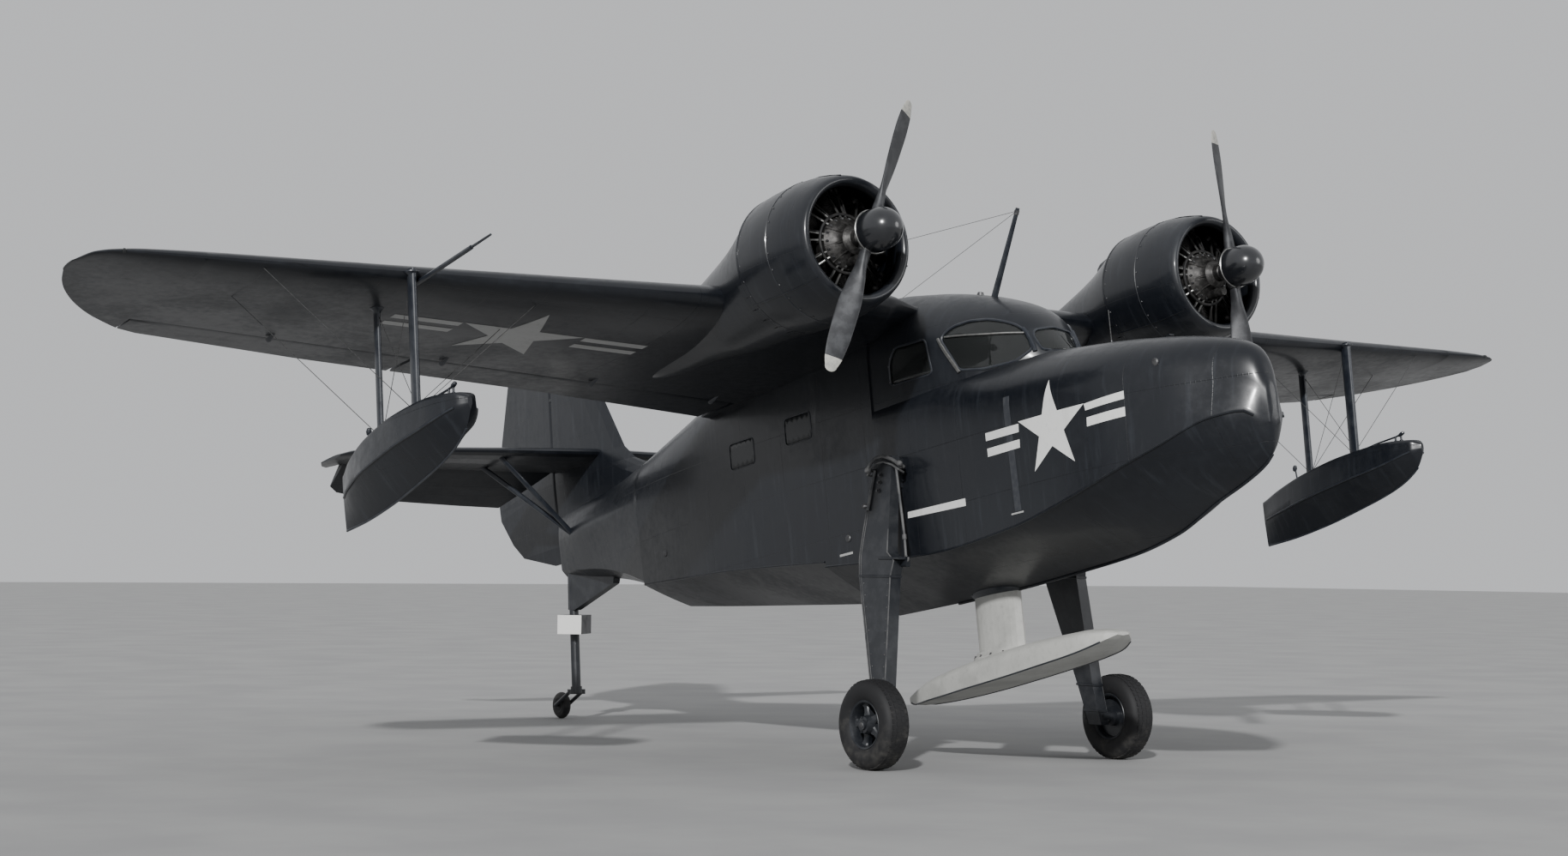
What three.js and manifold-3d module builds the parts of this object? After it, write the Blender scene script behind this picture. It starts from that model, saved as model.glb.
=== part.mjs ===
// Twin-engined flying boat standing on its beaching gear, with a hydro-ski below the hull.
// Millimetres. Ground frame: +Z up, nose toward -Y, port wing toward +X.
// Airframe frame, inside the pitched group: X to port, Y aft from the bow, Z up from the keel at the main step.
import * as THREE from "three";
import { mergeVertices } from "three/addons/utils/BufferGeometryUtils.js";
import Module from "manifold-3d";

const wasm = await Module();
wasm.setup();

// Driving dimensions
const PITCH = THREE.MathUtils.degToRad(9);
const BOW_HEIGHT = 1950;
const SEAT = 0.3;
const SKIN = 60;
const CANOPY_SKIN = 36;
const SWING_GAP = 8;
const FLOOR = 450;

const BOW_JOINT = 1450;
const COCKPIT_FRONT = 2300;
const ROOF_FRONT = 3900;
const CABIN_REAR = 7400;
const TAIL_JOINT = 7600;
const STERN = 10420;
const STEP_LENGTH = 2;
const BOW_BULGE = 0.34;
const CHINE_BULGE = 0.46;

const THRUST_X = 1945;
const THRUST_Z = 2652;
const HUB_AT = 2165;
const COWL_LIP = 2330;
const FIREWALL = 3200;
const COWL_RADIUS = 566;
const SHAFT_END = 2270;
const BLADE_TURN_RIGHT = 24.4;
const BLADE_TURN_LEFT = -1.7;

const GROUND_SHIFT = 420;
const WING_JOINT = 2600;
const FLAP_INNER = 860;
const FLAP_OUTER = 4130;
const AILERON_INNER = 4170;
const AILERON_OUTER = 6650;
const WING_END = 7560;
const FLAP_END_GAP = 42;
const AILERON_END_GAP = 20;
const FLAP_SWING = { up: 30, down: 42 };
const ELEVATOR_SWING = { up: 30, down: 36 };
const RUDDER_SWING = { up: 27, down: 27 };
const BRACKET = 30;
const FLAP_BRACKETS = [1100, 2400, 3900];
const AILERON_BRACKETS = [4400, 5500, 6450];
const CARRY_THROUGH = { half: 560, full: 720, drop: 40, ratio: 0.12, chord: 0.62 };

const FLOAT_X = 5080;
const RUDDER_HINGE = 10480;
const ELEVATOR_HINGE = 10400;
const ELEVATOR_INNER = 130;
const ELEVATOR_BRACKETS = [300, 1400, 2400];
const RUDDER_BRACKETS = [2560, 3100, 3800];
const ELEVATOR_CUTAWAY = 0.56;
const ELEVATOR_DROOP = THREE.MathUtils.degToRad(33);

const TYRE_RADIUS = 370;
const WHEEL_X = 1315;
const WHEEL_Y = 2884;
const TYRE_SIDES = 24;
const AXLE_HEIGHT = TYRE_RADIUS * Math.cos(Math.PI / TYRE_SIDES);
const TAIL_WHEEL_RADIUS = 140;
const TAIL_TYRE_SIDES = 20;
const FORK_HALF = 74;
const TAIL_AXLE_HEIGHT = TAIL_WHEEL_RADIUS * Math.cos(Math.PI / TAIL_TYRE_SIDES);
const TAIL_WHEEL_Y = 10140;

// Finishes
const FINISHES = {
  navy: { color: 0x151a24, roughness: 0.35, metalness: 0.1 },
  glass: { color: 0x39424a, roughness: 0.08, metalness: 0.0 },
  engine: { color: 0x55585c, roughness: 0.45, metalness: 0.7 },
  blade: { color: 0x6d7073, roughness: 0.5, metalness: 0.5 },
  steel: { color: 0x34373c, roughness: 0.5, metalness: 0.6 },
  gear: { color: 0x1b2029, roughness: 0.45, metalness: 0.2 },
  pale: { color: 0xb9bab6, roughness: 0.6, metalness: 0.1 },
  rubber: { color: 0x17171a, roughness: 0.85, metalness: 0.0 },
};

// Solids from three.js geometry, joined and cut with manifold-3d
function solid(geometry) {
  const plain = geometry.index ? geometry.toNonIndexed() : geometry.clone();
  plain.deleteAttribute("normal");
  plain.deleteAttribute("uv");
  const merged = mergeVertices(plain, 1e-3);
  const mesh = new wasm.Mesh({
    numProp: 3,
    vertProperties: new Float32Array(merged.attributes.position.array),
    triVerts: new Uint32Array(merged.index.array),
  });
  return new wasm.Manifold(mesh);
}

function geometryOf(body) {
  const mesh = body.getMesh();
  const geometry = new THREE.BufferGeometry();
  geometry.setAttribute("position", new THREE.BufferAttribute(new Float32Array(mesh.vertProperties), 3));
  geometry.setIndex(new THREE.BufferAttribute(new Uint32Array(mesh.triVerts), 1));
  geometry.computeVertexNormals();
  return geometry;
}

const point = (x, y, z) => new THREE.Vector3(x, y, z);

function union(bodies) {
  return bodies.reduce((sum, body) => sum.add(body));
}

// A body through rings of equal point counts, with a fan over each end. The two halves of a ring are
// split into triangles as mirror images.
function loft(rings) {
  const count = rings[0].length;
  const points = rings.flat();
  const faces = [];
  for (let i = 0; i < rings.length - 1; i += 1) {
    for (let j = 0; j < count; j += 1) {
      const a = i * count + j;
      const b = i * count + ((j + 1) % count);
      const leaning = j < count / 2;
      faces.push(...(leaning ? [a, b, b + count] : [a, b, a + count]));
      faces.push(...(leaning ? [a, b + count, a + count] : [b, b + count, a + count]));
    }
  }
  const ends = [[0, true], [(rings.length - 1) * count, false]];
  for (const [start, first] of ends) {
    const hub = points.length;
    const middle = new THREE.Vector3();
    for (let j = 0; j < count; j += 1) {
      middle.addScaledVector(points[start + j], 1 / count);
    }
    points.push(middle);
    for (let j = 0; j < count; j += 1) {
      const a = start + j;
      const b = start + ((j + 1) % count);
      faces.push(...(first ? [hub, b, a] : [hub, a, b]));
    }
  }
  let volume = 0;
  for (let k = 0; k < faces.length; k += 3) {
    const [p, q, r] = [points[faces[k]], points[faces[k + 1]], points[faces[k + 2]]];
    volume += p.dot(q.clone().cross(r));
  }
  if (volume < 0) {
    faces.reverse();
  }
  const geometry = new THREE.BufferGeometry();
  const flat = points.flatMap((p) => [p.x, p.y, p.z]);
  geometry.setAttribute("position", new THREE.Float32BufferAttribute(flat, 3));
  geometry.setIndex(faces);
  return solid(geometry);
}

function block(x0, x1, y0, y1, z0, z1) {
  const geometry = new THREE.BoxGeometry(x1 - x0, y1 - y0, z1 - z0);
  geometry.translate((x0 + x1) / 2, (y0 + y1) / 2, (z0 + z1) / 2);
  return solid(geometry);
}

// A straight bar of round or oval section between two points; wide runs along Y for upright bars.
function bar(from, to, radiusFrom, radiusTo = radiusFrom, sides = 12, flatness = 1) {
  const along = to.clone().sub(from);
  const geometry = new THREE.CylinderGeometry(radiusTo, radiusFrom, along.length(), sides);
  geometry.rotateX(Math.PI / 2);
  geometry.scale(flatness, 1, 1);
  const turn = new THREE.Quaternion().setFromUnitVectors(new THREE.Vector3(0, 0, 1), along.clone().normalize());
  geometry.applyQuaternion(turn);
  const middle = from.clone().add(to).multiplyScalar(0.5);
  geometry.translate(middle.x, middle.y, middle.z);
  return solid(geometry);
}

// A turned body: the profile lists radius and distance aft along the turning axis through x, z.
function turnedAft(profile, x, z, segments = 32) {
  const geometry = new THREE.LatheGeometry(profile.map(([r, y]) => new THREE.Vector2(r, y)), segments);
  geometry.translate(x, 0, z);
  return solid(geometry);
}

// A turned wheel or tyre: the profile lists radius and distance outward along X.
function turnedSideways(profile, x, y, z, segments = 32) {
  const geometry = new THREE.LatheGeometry(profile.map(([r, a]) => new THREE.Vector2(r, a)), segments);
  geometry.rotateZ(-Math.PI / 2);
  geometry.rotateX(Math.PI / segments);
  geometry.translate(x, y, z);
  return solid(geometry);
}

// A flat plate across one axis: its corners are given in the two other axes, in their order.
function plate(corners, axis, from, to) {
  const shape = new THREE.Shape(corners.map(([a, b]) => new THREE.Vector2(a, b)));
  const geometry = new THREE.ExtrudeGeometry(shape, { depth: to - from, bevelEnabled: false });
  const basis = new THREE.Matrix4();
  if (axis === "x") {
    basis.set(0, 0, 1, from, 1, 0, 0, 0, 0, 1, 0, 0, 0, 0, 0, 1);
  } else if (axis === "y") {
    basis.set(1, 0, 0, 0, 0, 0, -1, to, 0, 1, 0, 0, 0, 0, 0, 1);
  } else {
    basis.makeTranslation(0, 0, from);
  }
  geometry.applyMatrix4(basis);
  return solid(geometry);
}

function mirrored(body) {
  return body.mirror([1, 0, 0]);
}

// Smooth value between the rows of a table whose first column is the station.
function between(rows, column, at) {
  const last = rows.length - 1;
  let i = 0;
  while (i < last - 1 && rows[i + 1][0] < at) {
    i += 1;
  }
  const slope = (k) => (rows[k + 1][column] - rows[k][column]) / (rows[k + 1][0] - rows[k][0]);
  const tangent = (k) => {
    if (k === 0) {
      return slope(0);
    }
    if (k === last) {
      return slope(last - 1);
    }
    const [before, after] = [slope(k - 1), slope(k)];
    return before * after <= 0 ? 0 : (2 * before * after) / (before + after);
  };
  const length = rows[i + 1][0] - rows[i][0];
  const t = (at - rows[i][0]) / length;
  const [p, q] = [rows[i][column], rows[i + 1][column]];
  const h = t * t * (3 - 2 * t);
  return p + (q - p) * h + length * (tangent(i) * t * (1 - t) ** 2 - tangent(i + 1) * t * t * (1 - t));
}

// Hull lines: station, keel height, chine half width, chine height, side half width, side height, crown height.
const HULL_PARTS = [
  [
    [0, 770, 55, 800, 60, 1010, 1130],
    [50, 585, 140, 850, 110, 1080, 1320],
    [130, 515, 215, 905, 170, 1120, 1420],
    [320, 430, 345, 885, 285, 1160, 1510],
    [670, 318, 540, 742, 500, 1200, 1604],
    [1150, 145, 690, 582, 680, 1230, 1690],
    [1640, 65, 745, 455, 742, 1250, 1752],
    [2210, 32, 760, 360, 760, 1290, 1806],
    [3080, 0, 760, 312, 760, 1500, 1812],
    [ROOF_FRONT, -8, 760, 350, 760, 1560, 1815],
  ],
  [
    [ROOF_FRONT + STEP_LENGTH, -8, 760, 350, 760, 2080, 2690],
    [4300, -5, 760, 390, 760, 2100, 2730],
    [4740, 0, 760, 430, 760, 2100, 2725],
  ],
  [
    [4740 + STEP_LENGTH, 108, 752, 470, 760, 2100, 2725],
    [5700, 232, 750, 570, 760, 2040, 2630],
    [6450, 330, 725, 640, 745, 1880, 2470],
    [7200, 428, 655, 690, 685, 1720, 2290],
    [8080, 550, 520, 760, 560, 1580, 2100],
  ],
  [
    [8080 + STEP_LENGTH, 640, 500, 790, 559, 1580, 2100],
    [8720, 850, 370, 980, 440, 1550, 1990],
    [9330, 1010, 250, 1110, 325, 1540, 1920],
    [9900, 1100, 150, 1190, 215, 1540, 1880],
    [STERN, 1190, 60, 1260, 75, 1560, 1840],
  ],
];
const HULL_CUTS = [2, 1, 2, 2];
const CROWN_STEPS = 5;
const CROWN_POWER = 0.86;

function mirroredRing(half) {
  const other = half.slice(1, -1).reverse().map((p) => new THREE.Vector3(-p.x, p.y, p.z));
  return half.concat(other);
}

function crown(x, z, top, y) {
  const points = [];
  for (let k = 0; k <= CROWN_STEPS; k += 1) {
    const angle = (k / CROWN_STEPS) * (Math.PI / 2);
    const out = k === CROWN_STEPS ? 0 : Math.cos(angle) ** CROWN_POWER;
    points.push(new THREE.Vector3(x * out, y, z + (top - z) * Math.sin(angle) ** CROWN_POWER));
  }
  return points;
}

// A cross-section of the hull, set in by inset; nothing of it lies below the floor.
function hullRing(rows, at, inset, floor) {
  const [keel, chineX, chineZ, sideX, sideZ, top] = [1, 2, 3, 4, 5, 6].map((c) => between(rows, c, at));
  const wide = chineX - inset;
  const bottom = keel + inset;
  const chine = chineZ + inset;
  const reached = Math.min(at, COCKPIT_FRONT);
  const bulge = THREE.MathUtils.mapLinear(reached, 0, COCKPIT_FRONT, BOW_BULGE, CHINE_BULGE);
  const middle = bottom + (chine - bottom) * bulge;
  const half = [
    new THREE.Vector3(0, at, Math.max(bottom, floor)),
    new THREE.Vector3(wide * 0.5, at, Math.max(middle, floor)),
    new THREE.Vector3(wide, at, Math.max(chine, floor)),
    ...crown(sideX - inset, sideZ, top - inset, at),
  ];
  return mirroredRing(half);
}

function hullLoft(inset, from, to, floor = -Infinity) {
  const rings = [];
  HULL_PARTS.forEach((rows, part) => {
    const [start, end] = [rows[0][0], rows[rows.length - 1][0]];
    const stations = [];
    for (let i = 0; i < rows.length - 1; i += 1) {
      const gap = rows[i + 1][0] - rows[i][0];
      const cuts = gap < 200 ? 1 : Math.min(HULL_CUTS[part], Math.ceil(gap / 240));
      for (let k = 0; k < cuts; k += 1) {
        stations.push(rows[i][0] + (gap * k) / cuts);
      }
    }
    stations.push(end);
    const kept = stations.filter((at) => at > from + 1 && at < to - 1);
    if (from >= start && from < end) {
      kept.unshift(from);
    }
    if (to > start && to <= end) {
      kept.push(to);
    }
    kept.forEach((at) => rings.push(hullRing(rows, at, inset, floor)));
  });
  return loft(rings);
}

// Cockpit canopy: station, half width at the sill, shoulder height, crown height.
const CANOPY = [
  [2215, 60, 1700, 1835],
  [2270, 190, 1720, 1935],
  [2360, 300, 1740, 2070],
  [2470, 400, 1770, 2200],
  [2620, 510, 1810, 2310],
  [2800, 600, 1850, 2395],
  [3100, 672, 1930, 2505],
  [3450, 720, 2010, 2600],
  [ROOF_FRONT, 745, 2080, 2690],
];
const CANOPY_FOOT = 1560;

function canopyRing(at, inset, foot) {
  const [wide, shoulder, top] = [1, 2, 3].map((c) => between(CANOPY, c, at));
  const x = Math.max(wide - inset, 20);
  const half = [
    new THREE.Vector3(0, at, foot),
    new THREE.Vector3(x, at, foot + 1),
    ...crown(x, shoulder, Math.max(top - inset, shoulder + 20), at),
  ];
  return mirroredRing(half);
}

function canopyLoft(inset, from, to, foot = CANOPY_FOOT) {
  const stations = CANOPY.map((row) => row[0]).filter((at) => at > from + 1 && at < to - 1);
  return loft([from, ...stations, to].map((at) => canopyRing(at, inset, foot)));
}

// Aerofoil sections. A section has its nose, chord line, thickness direction and thickness ratio.
const AEROFOIL = [0, 0.012, 0.05, 0.13, 0.26, 0.42, 0.6, 0.78, 1];
const EDGE = 5;

function thickness(x, ratio) {
  const shape = 0.2969 * Math.sqrt(x) - 0.126 * x - 0.3516 * x * x + 0.2843 * x ** 3 - 0.1036 * x ** 4;
  return 5 * ratio * shape;
}

function surfacePoint(section, x, side, grow = 0) {
  const chord = section.chord.length();
  const camber = section.camber * 4 * x * (1 - x) * chord;
  const half = thickness(x, section.ratio) * chord + EDGE * x + grow;
  return section.nose.clone()
    .addScaledVector(section.chord, x)
    .addScaledVector(section.normal, camber + side * half);
}

function fullRing(section, grow = 0) {
  const upper = AEROFOIL.slice(1).reverse().map((x) => surfacePoint(section, x, 1, grow));
  const lower = AEROFOIL.slice(1).map((x) => surfacePoint(section, x, -1, grow));
  const nose = surfacePoint(section, 0, 0).addScaledVector(section.chord.clone().normalize(), -grow);
  return [...upper, nose, ...lower];
}

// The share of the chord at a hinge point, and the radius of a round nose about that point within the skin.
function hingeShare(section) {
  const along = section.hinge.clone().sub(section.nose);
  return along.dot(section.chord) / section.chord.lengthSq();
}

function hingeRadius(section) {
  const at = hingeShare(section);
  return Math.min(...[1, -1].map((side) => surfacePoint(section, at, side).distanceTo(section.hinge))) - 1;
}

// Points about the hinge from the lower side round the front to the upper side, in degrees from aft.
function arcAround(section, radius, steps, from, to) {
  const aft = section.chord.clone().normalize();
  const points = [];
  for (let k = 0; k <= steps; k += 1) {
    const angle = THREE.MathUtils.degToRad(from + ((to - from) * k) / steps);
    points.push(section.hinge.clone()
      .addScaledVector(aft, radius * Math.cos(angle))
      .addScaledVector(section.normal, radius * Math.sin(angle)));
  }
  return points;
}

const COVE_STEPS = 6;
const COVE_DEPTH = 260;
const BRACKET_ROOM = SEAT + 0.1;

// Moving surface behind the hinge line, with a round nose about the hinge.
function movingRing(section) {
  const hinge = hingeShare(section);
  const stops = [hinge + (1 - hinge) * 0.12, hinge + (1 - hinge) * 0.5, 1];
  const upper = stops.map((x) => surfacePoint(section, x, 1));
  const lower = [...stops].reverse().map((x) => surfacePoint(section, x, -1));
  return [...upper, ...lower, ...arcAround(section, hingeRadius(section), 2 * COVE_STEPS, -90, -270)];
}

// The room that the moving surface needs in the fixed one: a round cove, lips cut back along the line
// that the skin reaches at full swing, and all behind them.
function coveRing(section, swing, gap = SWING_GAP) {
  const halfStep = THREE.MathUtils.degToRad((180 - swing.up - swing.down) / (2 * COVE_STEPS));
  const radius = (hingeRadius(section) + gap) / Math.cos(halfStep);
  const aft = section.chord.clone().normalize();
  const cove = arcAround(section, radius, COVE_STEPS, -90 - swing.down, -270 + swing.up);
  const reach = section.chord.length() * (1 - hingeShare(section)) + COVE_DEPTH;
  const lip = (from, degrees) => from.clone()
    .addScaledVector(aft, COVE_DEPTH * Math.cos(THREE.MathUtils.degToRad(degrees)))
    .addScaledVector(section.normal, COVE_DEPTH * Math.sin(THREE.MathUtils.degToRad(degrees)));
  const low = lip(cove[0], -swing.down);
  const high = lip(cove[COVE_STEPS], swing.up);
  const rear = [high, low].map((p) => p.clone().addScaledVector(aft, reach));
  return [...cove, high, ...rear, low];
}

// Wing: span station, nose station, nose height, tail station, tail height, thickness ratio.
const WING = [
  [0, 3350, 2450, 6480, 2030, 0.15],
  [WING_JOINT, 3600, 2470, 6270, 2217, 0.14],
  [5000, 3834, 2526, 6075, 2348, 0.12],
  [6500, 3930, 2552, 5890, 2440, 0.105],
  [6900, 3945, 2556, 5600, 2462, 0.1],
  [7150, 3950, 2556, 5320, 2480, 0.092],
  [7350, 3975, 2553, 5010, 2496, 0.08],
  [7480, 4040, 2548, 4735, 2510, 0.068],
  [WING_END, 4230, 2537, 4480, 2522, 0.055],
];
// The straight hinge line of flap and aileron: two span stations with station aft and height.
const WING_HINGE = [[FLAP_INNER, 5890, 2189], [AILERON_OUTER, 5518, 2491]];

function rowAt(rows, at) {
  let i = 0;
  while (i < rows.length - 2 && rows[i + 1][0] < at) {
    i += 1;
  }
  const t = (at - rows[i][0]) / (rows[i + 1][0] - rows[i][0]);
  return rows[i].map((value, column) => value + (rows[i + 1][column] - value) * t);
}

function wingSection(span, side) {
  const [, noseY, noseZ, tailY, tailZ, ratio] = rowAt(WING, span);
  const [, hingeY, hingeZ] = rowAt(WING_HINGE, span);
  const chord = point(0, tailY - noseY, tailZ - noseZ);
  const normal = point(0, -chord.z, chord.y).normalize();
  const hinge = point(side * span, hingeY, hingeZ);
  return { nose: point(side * span, noseY, noseZ), chord, normal, ratio, camber: 0.018, hinge };
}

function wingSpan(from, to, ring, extra = []) {
  const inner = [...WING.map((row) => row[0]), ...extra].filter((l) => l > from + 1 && l < to - 1);
  const stations = [from, ...inner.sort((a, b) => a - b), to];
  return loft(stations.map((l) => ring(wingSection(l, -1))));
}

// Inside the hull the wing carries through as a thinner and shorter box under the roof.
function centreSection(x) {
  const section = wingSection(x, -1);
  if (x <= CARRY_THROUGH.half) {
    section.nose.z -= CARRY_THROUGH.drop;
    section.ratio = CARRY_THROUGH.ratio;
    section.chord.multiplyScalar(CARRY_THROUGH.chord);
  }
  return section;
}

function wingCentre(grow) {
  const stations = [0, CARRY_THROUGH.half, CARRY_THROUGH.full, WING_JOINT - SEAT / 2];
  const half = loft(stations.map((x) => fullRing(centreSection(x), grow)));
  return half.add(mirrored(half));
}

function wingSurface(from, to) {
  return wingSpan(from, to, movingRing);
}

function wingCove(from, to, gap = SWING_GAP) {
  const ends = [FLAP_INNER, FLAP_OUTER, AILERON_INNER, AILERON_OUTER];
  return wingSpan(from, to, (section) => coveRing(section, FLAP_SWING, gap), ends);
}

// Tailplane: span station, nose station, tail station, thickness ratio.
const TAILPLANE_HEIGHT = 2360;
const TAILPLANE = [
  [0, 9470, 11060, 0.1],
  [1000, 9560, 11020, 0.1],
  [2000, 9690, 10960, 0.1],
  [2450, 9790, 10860, 0.09],
  [2640, 9910, 10700, 0.08],
  [2720, 10080, 10540, 0.06],
];

function tailSection(span, side) {
  const [, noseY, tailY, ratio] = rowAt(TAILPLANE, span);
  const nose = point(side * span, noseY, TAILPLANE_HEIGHT);
  const hinge = point(side * span, ELEVATOR_HINGE, TAILPLANE_HEIGHT);
  return { nose, chord: point(0, tailY - noseY, 0), normal: point(0, 0, 1), ratio, camber: 0, hinge };
}

// Fin and rudder: height, nose station, tail station, thickness ratio.
const FIN = [
  [1340, 8200, 10640, 0.04],
  [1520, 8220, 11300, 0.04],
  [1700, 8240, 11520, 0.04],
  [2000, 8330, 11755, 0.045],
  [2100, 8660, 11770, 0.05],
  [2200, 8900, 11778, 0.055],
  [2350, 9090, 11760, 0.058],
  [2840, 9390, 11640, 0.06],
  [3470, 9780, 11420, 0.06],
  [3800, 9985, 11260, 0.055],
  [3950, 10120, 11110, 0.05],
  [4030, 10290, 10900, 0.045],
];

function finSection([height, noseY, tailY, ratio]) {
  const hinge = point(0, RUDDER_HINGE, height);
  const nose = point(0, noseY, height);
  const chord = point(0, tailY - noseY, 0);
  return { nose, chord, normal: point(1, 0, 0), ratio, camber: 0, hinge };
}

// The scene graph
const aircraft = new THREE.Group();
const airframe = new THREE.Group();
airframe.rotation.x = -PITCH;
airframe.position.z = BOW_HEIGHT;
aircraft.add(airframe);
const ground = new THREE.Group();
ground.position.y = GROUND_SHIFT;
aircraft.add(ground);

function addPart(parent, name, body, finish) {
  const mesh = new THREE.Mesh(geometryOf(body), new THREE.MeshStandardMaterial(FINISHES[finish]));
  mesh.name = name;
  parent.add(mesh);
}

// A part that turns about the line from one point to another hangs in a group on that line.
function addHinged(parent, name, body, finish, from, to) {
  const pivot = new THREE.Group();
  pivot.position.copy(from);
  pivot.quaternion.setFromUnitVectors(new THREE.Vector3(1, 0, 0), to.clone().sub(from).normalize());
  pivot.updateMatrix();
  const geometry = geometryOf(body).applyMatrix4(pivot.matrix.clone().invert());
  const mesh = new THREE.Mesh(geometry, new THREE.MeshStandardMaterial(FINISHES[finish]));
  mesh.name = name;
  pivot.add(mesh);
  parent.add(pivot);
}

const SIDES = [["right", -1], ["left", 1]];

// Wing centre section, outer wings, flaps and ailerons
const flap = wingSurface(FLAP_INNER, FLAP_OUTER);
const aileron = wingSurface(AILERON_INNER, AILERON_OUTER);
const coveFrom = FLAP_INNER - FLAP_END_GAP;
const coveTo = AILERON_OUTER + AILERON_END_GAP;
const cove = wingCove(coveFrom, coveTo);
const bracketCove = wingCove(coveFrom, coveTo, BRACKET_ROOM);
const bracketSlabs = (places) => union(
  places.map((x) => block(-x - BRACKET / 2, -x + BRACKET / 2, 4000, 7000, 1500, 3000)),
);
const wingBrackets = (wing, places) => wing.intersect(bracketSlabs(places)).subtract(bracketCove);
const centreFull = wingCentre(0);
const centreBrackets = wingBrackets(centreFull, FLAP_BRACKETS.filter((x) => x < WING_JOINT));
const centreWing = centreFull.subtract(cove).subtract(mirrored(cove))
  .add(centreBrackets).add(mirrored(centreBrackets));
const outerFull = wingSpan(WING_JOINT + SEAT / 2, WING_END, (section) => fullRing(section));
const outerPlaces = [...FLAP_BRACKETS, ...AILERON_BRACKETS].filter((x) => x > WING_JOINT);
const outerWing = outerFull.subtract(cove).add(wingBrackets(outerFull, outerPlaces));
const roomCove = wingCove(coveFrom + SEAT, WING_JOINT + 10);
const wingRoom = wingCentre(SEAT).subtract(roomCove).subtract(mirrored(roomCove));
addPart(airframe, "wing_center", centreWing, "navy");

function hingeLine(from, to, side) {
  return [from, to].map((l) => wingSection(l, side).hinge);
}

for (const [name, side] of SIDES) {
  const turned = (body) => (side < 0 ? body : mirrored(body));
  addPart(airframe, `wing_outer_${name}`, turned(outerWing), "navy");
  const [flapIn, flapOut] = hingeLine(FLAP_INNER, FLAP_OUTER, side);
  const [aileronIn, aileronOut] = hingeLine(AILERON_INNER, AILERON_OUTER, side);
  addHinged(airframe, `flap_${name}`, turned(flap), "navy", flapIn, flapOut);
  addHinged(airframe, `aileron_${name}`, turned(aileron), "navy", aileronIn, aileronOut);
}

// Hull: bow, cabin and tail, cut where the frames join
const hullOuter = hullLoft(0, 0, STERN);
const hullRoom = hullLoft(-SEAT, 0, STERN);
const WIDE = 2000;
const HIGH = 6000;
const slice = (body, from, to) => body.intersect(block(-WIDE, WIDE, from, to, -HIGH, HIGH));

const HATCH = { from: 900, to: 1360, half: 240, skin: 30, well: 700 };
const hatchGap = 6;
const KNUCKLE = { radius: 9, long: 45, lug: 40, deep: 26 };
const hatchHinge = { y: HATCH.from + hatchGap, z: between(HULL_PARTS[0], 6, HATCH.from) + 11, places: [-150, 100] };

// Hinge lugs: a barrel on the hinge line and a block down to the piece that carries it.
function hatchLug(x, side) {
  const { y, z } = hatchHinge;
  const [y0, y1] = side < 0 ? [y - KNUCKLE.lug, y - KNUCKLE.radius / 2] : [y + KNUCKLE.radius / 2, y + KNUCKLE.lug];
  const barrel = bar(point(x, y, z), point(x + KNUCKLE.long, y, z), KNUCKLE.radius, KNUCKLE.radius, 10);
  return barrel.add(block(x, x + KNUCKLE.long, y0, y1, z - KNUCKLE.deep, z + KNUCKLE.radius / 2));
}

const hatchWell = block(-HATCH.half, HATCH.half, HATCH.from, HATCH.to, HATCH.well, HIGH);
const hatchRoom = block(
  -HATCH.half + hatchGap, HATCH.half - hatchGap, HATCH.from + hatchGap, HATCH.to - hatchGap, HATCH.well, HIGH,
);
const hatchLid = hullOuter.subtract(hullLoft(HATCH.skin, 0, STERN)).intersect(hatchRoom);
const lidLugs = hatchHinge.places.map((x) => hatchLug(x + KNUCKLE.long + SEAT, 1));
const deckLugs = hatchHinge.places.map((x) => hatchLug(x, -1));
const bow = union([slice(hullOuter, -10, BOW_JOINT - SEAT / 2).subtract(hatchWell), ...deckLugs]);
addPart(airframe, "hull_bow", bow, "navy");
addHinged(
  airframe, "bow_hatch", union([hatchLid, ...lidLugs]), "navy",
  point(-HATCH.half, hatchHinge.y, hatchHinge.z), point(HATCH.half, hatchHinge.y, hatchHinge.z),
);

// Door: port side, behind the wing
const DOOR = { from: 6560, to: 7180, low: 800, high: 1700 };
const doorGap = 6;
const doorWay = block(300, 1000, DOOR.from, DOOR.to, DOOR.low, DOOR.high);
const doorRoom = block(
  300, 1000, DOOR.from + doorGap, DOOR.to - doorGap, DOOR.low + doorGap, DOOR.high - doorGap,
);
const DOOR_WINDOW = [6740, 7020, 1360, 1590];
// Cabin windows: station from, station to, height from, height to.
const WINDOWS = [["fore", 4790, 5190, 1580, 1820], ["aft", 5690, 6090, 1520, 1760]];
const PANE = 8;
const PANE_INSET = 22;

const cabinOuter = slice(hullOuter, BOW_JOINT + SEAT / 2, TAIL_JOINT - SEAT / 2);
const cabinRoom = hullLoft(SKIN, COCKPIT_FRONT, CABIN_REAR, FLOOR);
const cockpitOpening = canopyLoft(CANOPY_SKIN, 2330, ROOF_FRONT + 40, 1400);
const paneSkin = hullLoft(PANE_INSET, 4000, CABIN_REAR, 900)
  .subtract(hullLoft(PANE_INSET + PANE, 3980, CABIN_REAR, 880));
let cabin = cabinOuter.subtract(cabinRoom).subtract(cockpitOpening).subtract(wingRoom).subtract(doorWay);
for (const [label, y0, y1, z0, z1] of WINDOWS) {
  for (const [name, side] of SIDES) {
    const [x0, x1] = side < 0 ? [-1000, -400] : [400, 1000];
    cabin = cabin.subtract(block(x0, x1, y0, y1, z0, z1));
    const pane = paneSkin.intersect(block(x0, x1, y0 + SEAT, y1 - SEAT, z0 + SEAT, z1 - SEAT));
    addPart(airframe, `window_${label}_${name}`, pane, "glass");
  }
}
const doorHinge = { x: between(HULL_PARTS[2], 4, DOOR.from) + 13, y: DOOR.from + doorGap, places: [960, 1480] };

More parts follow.
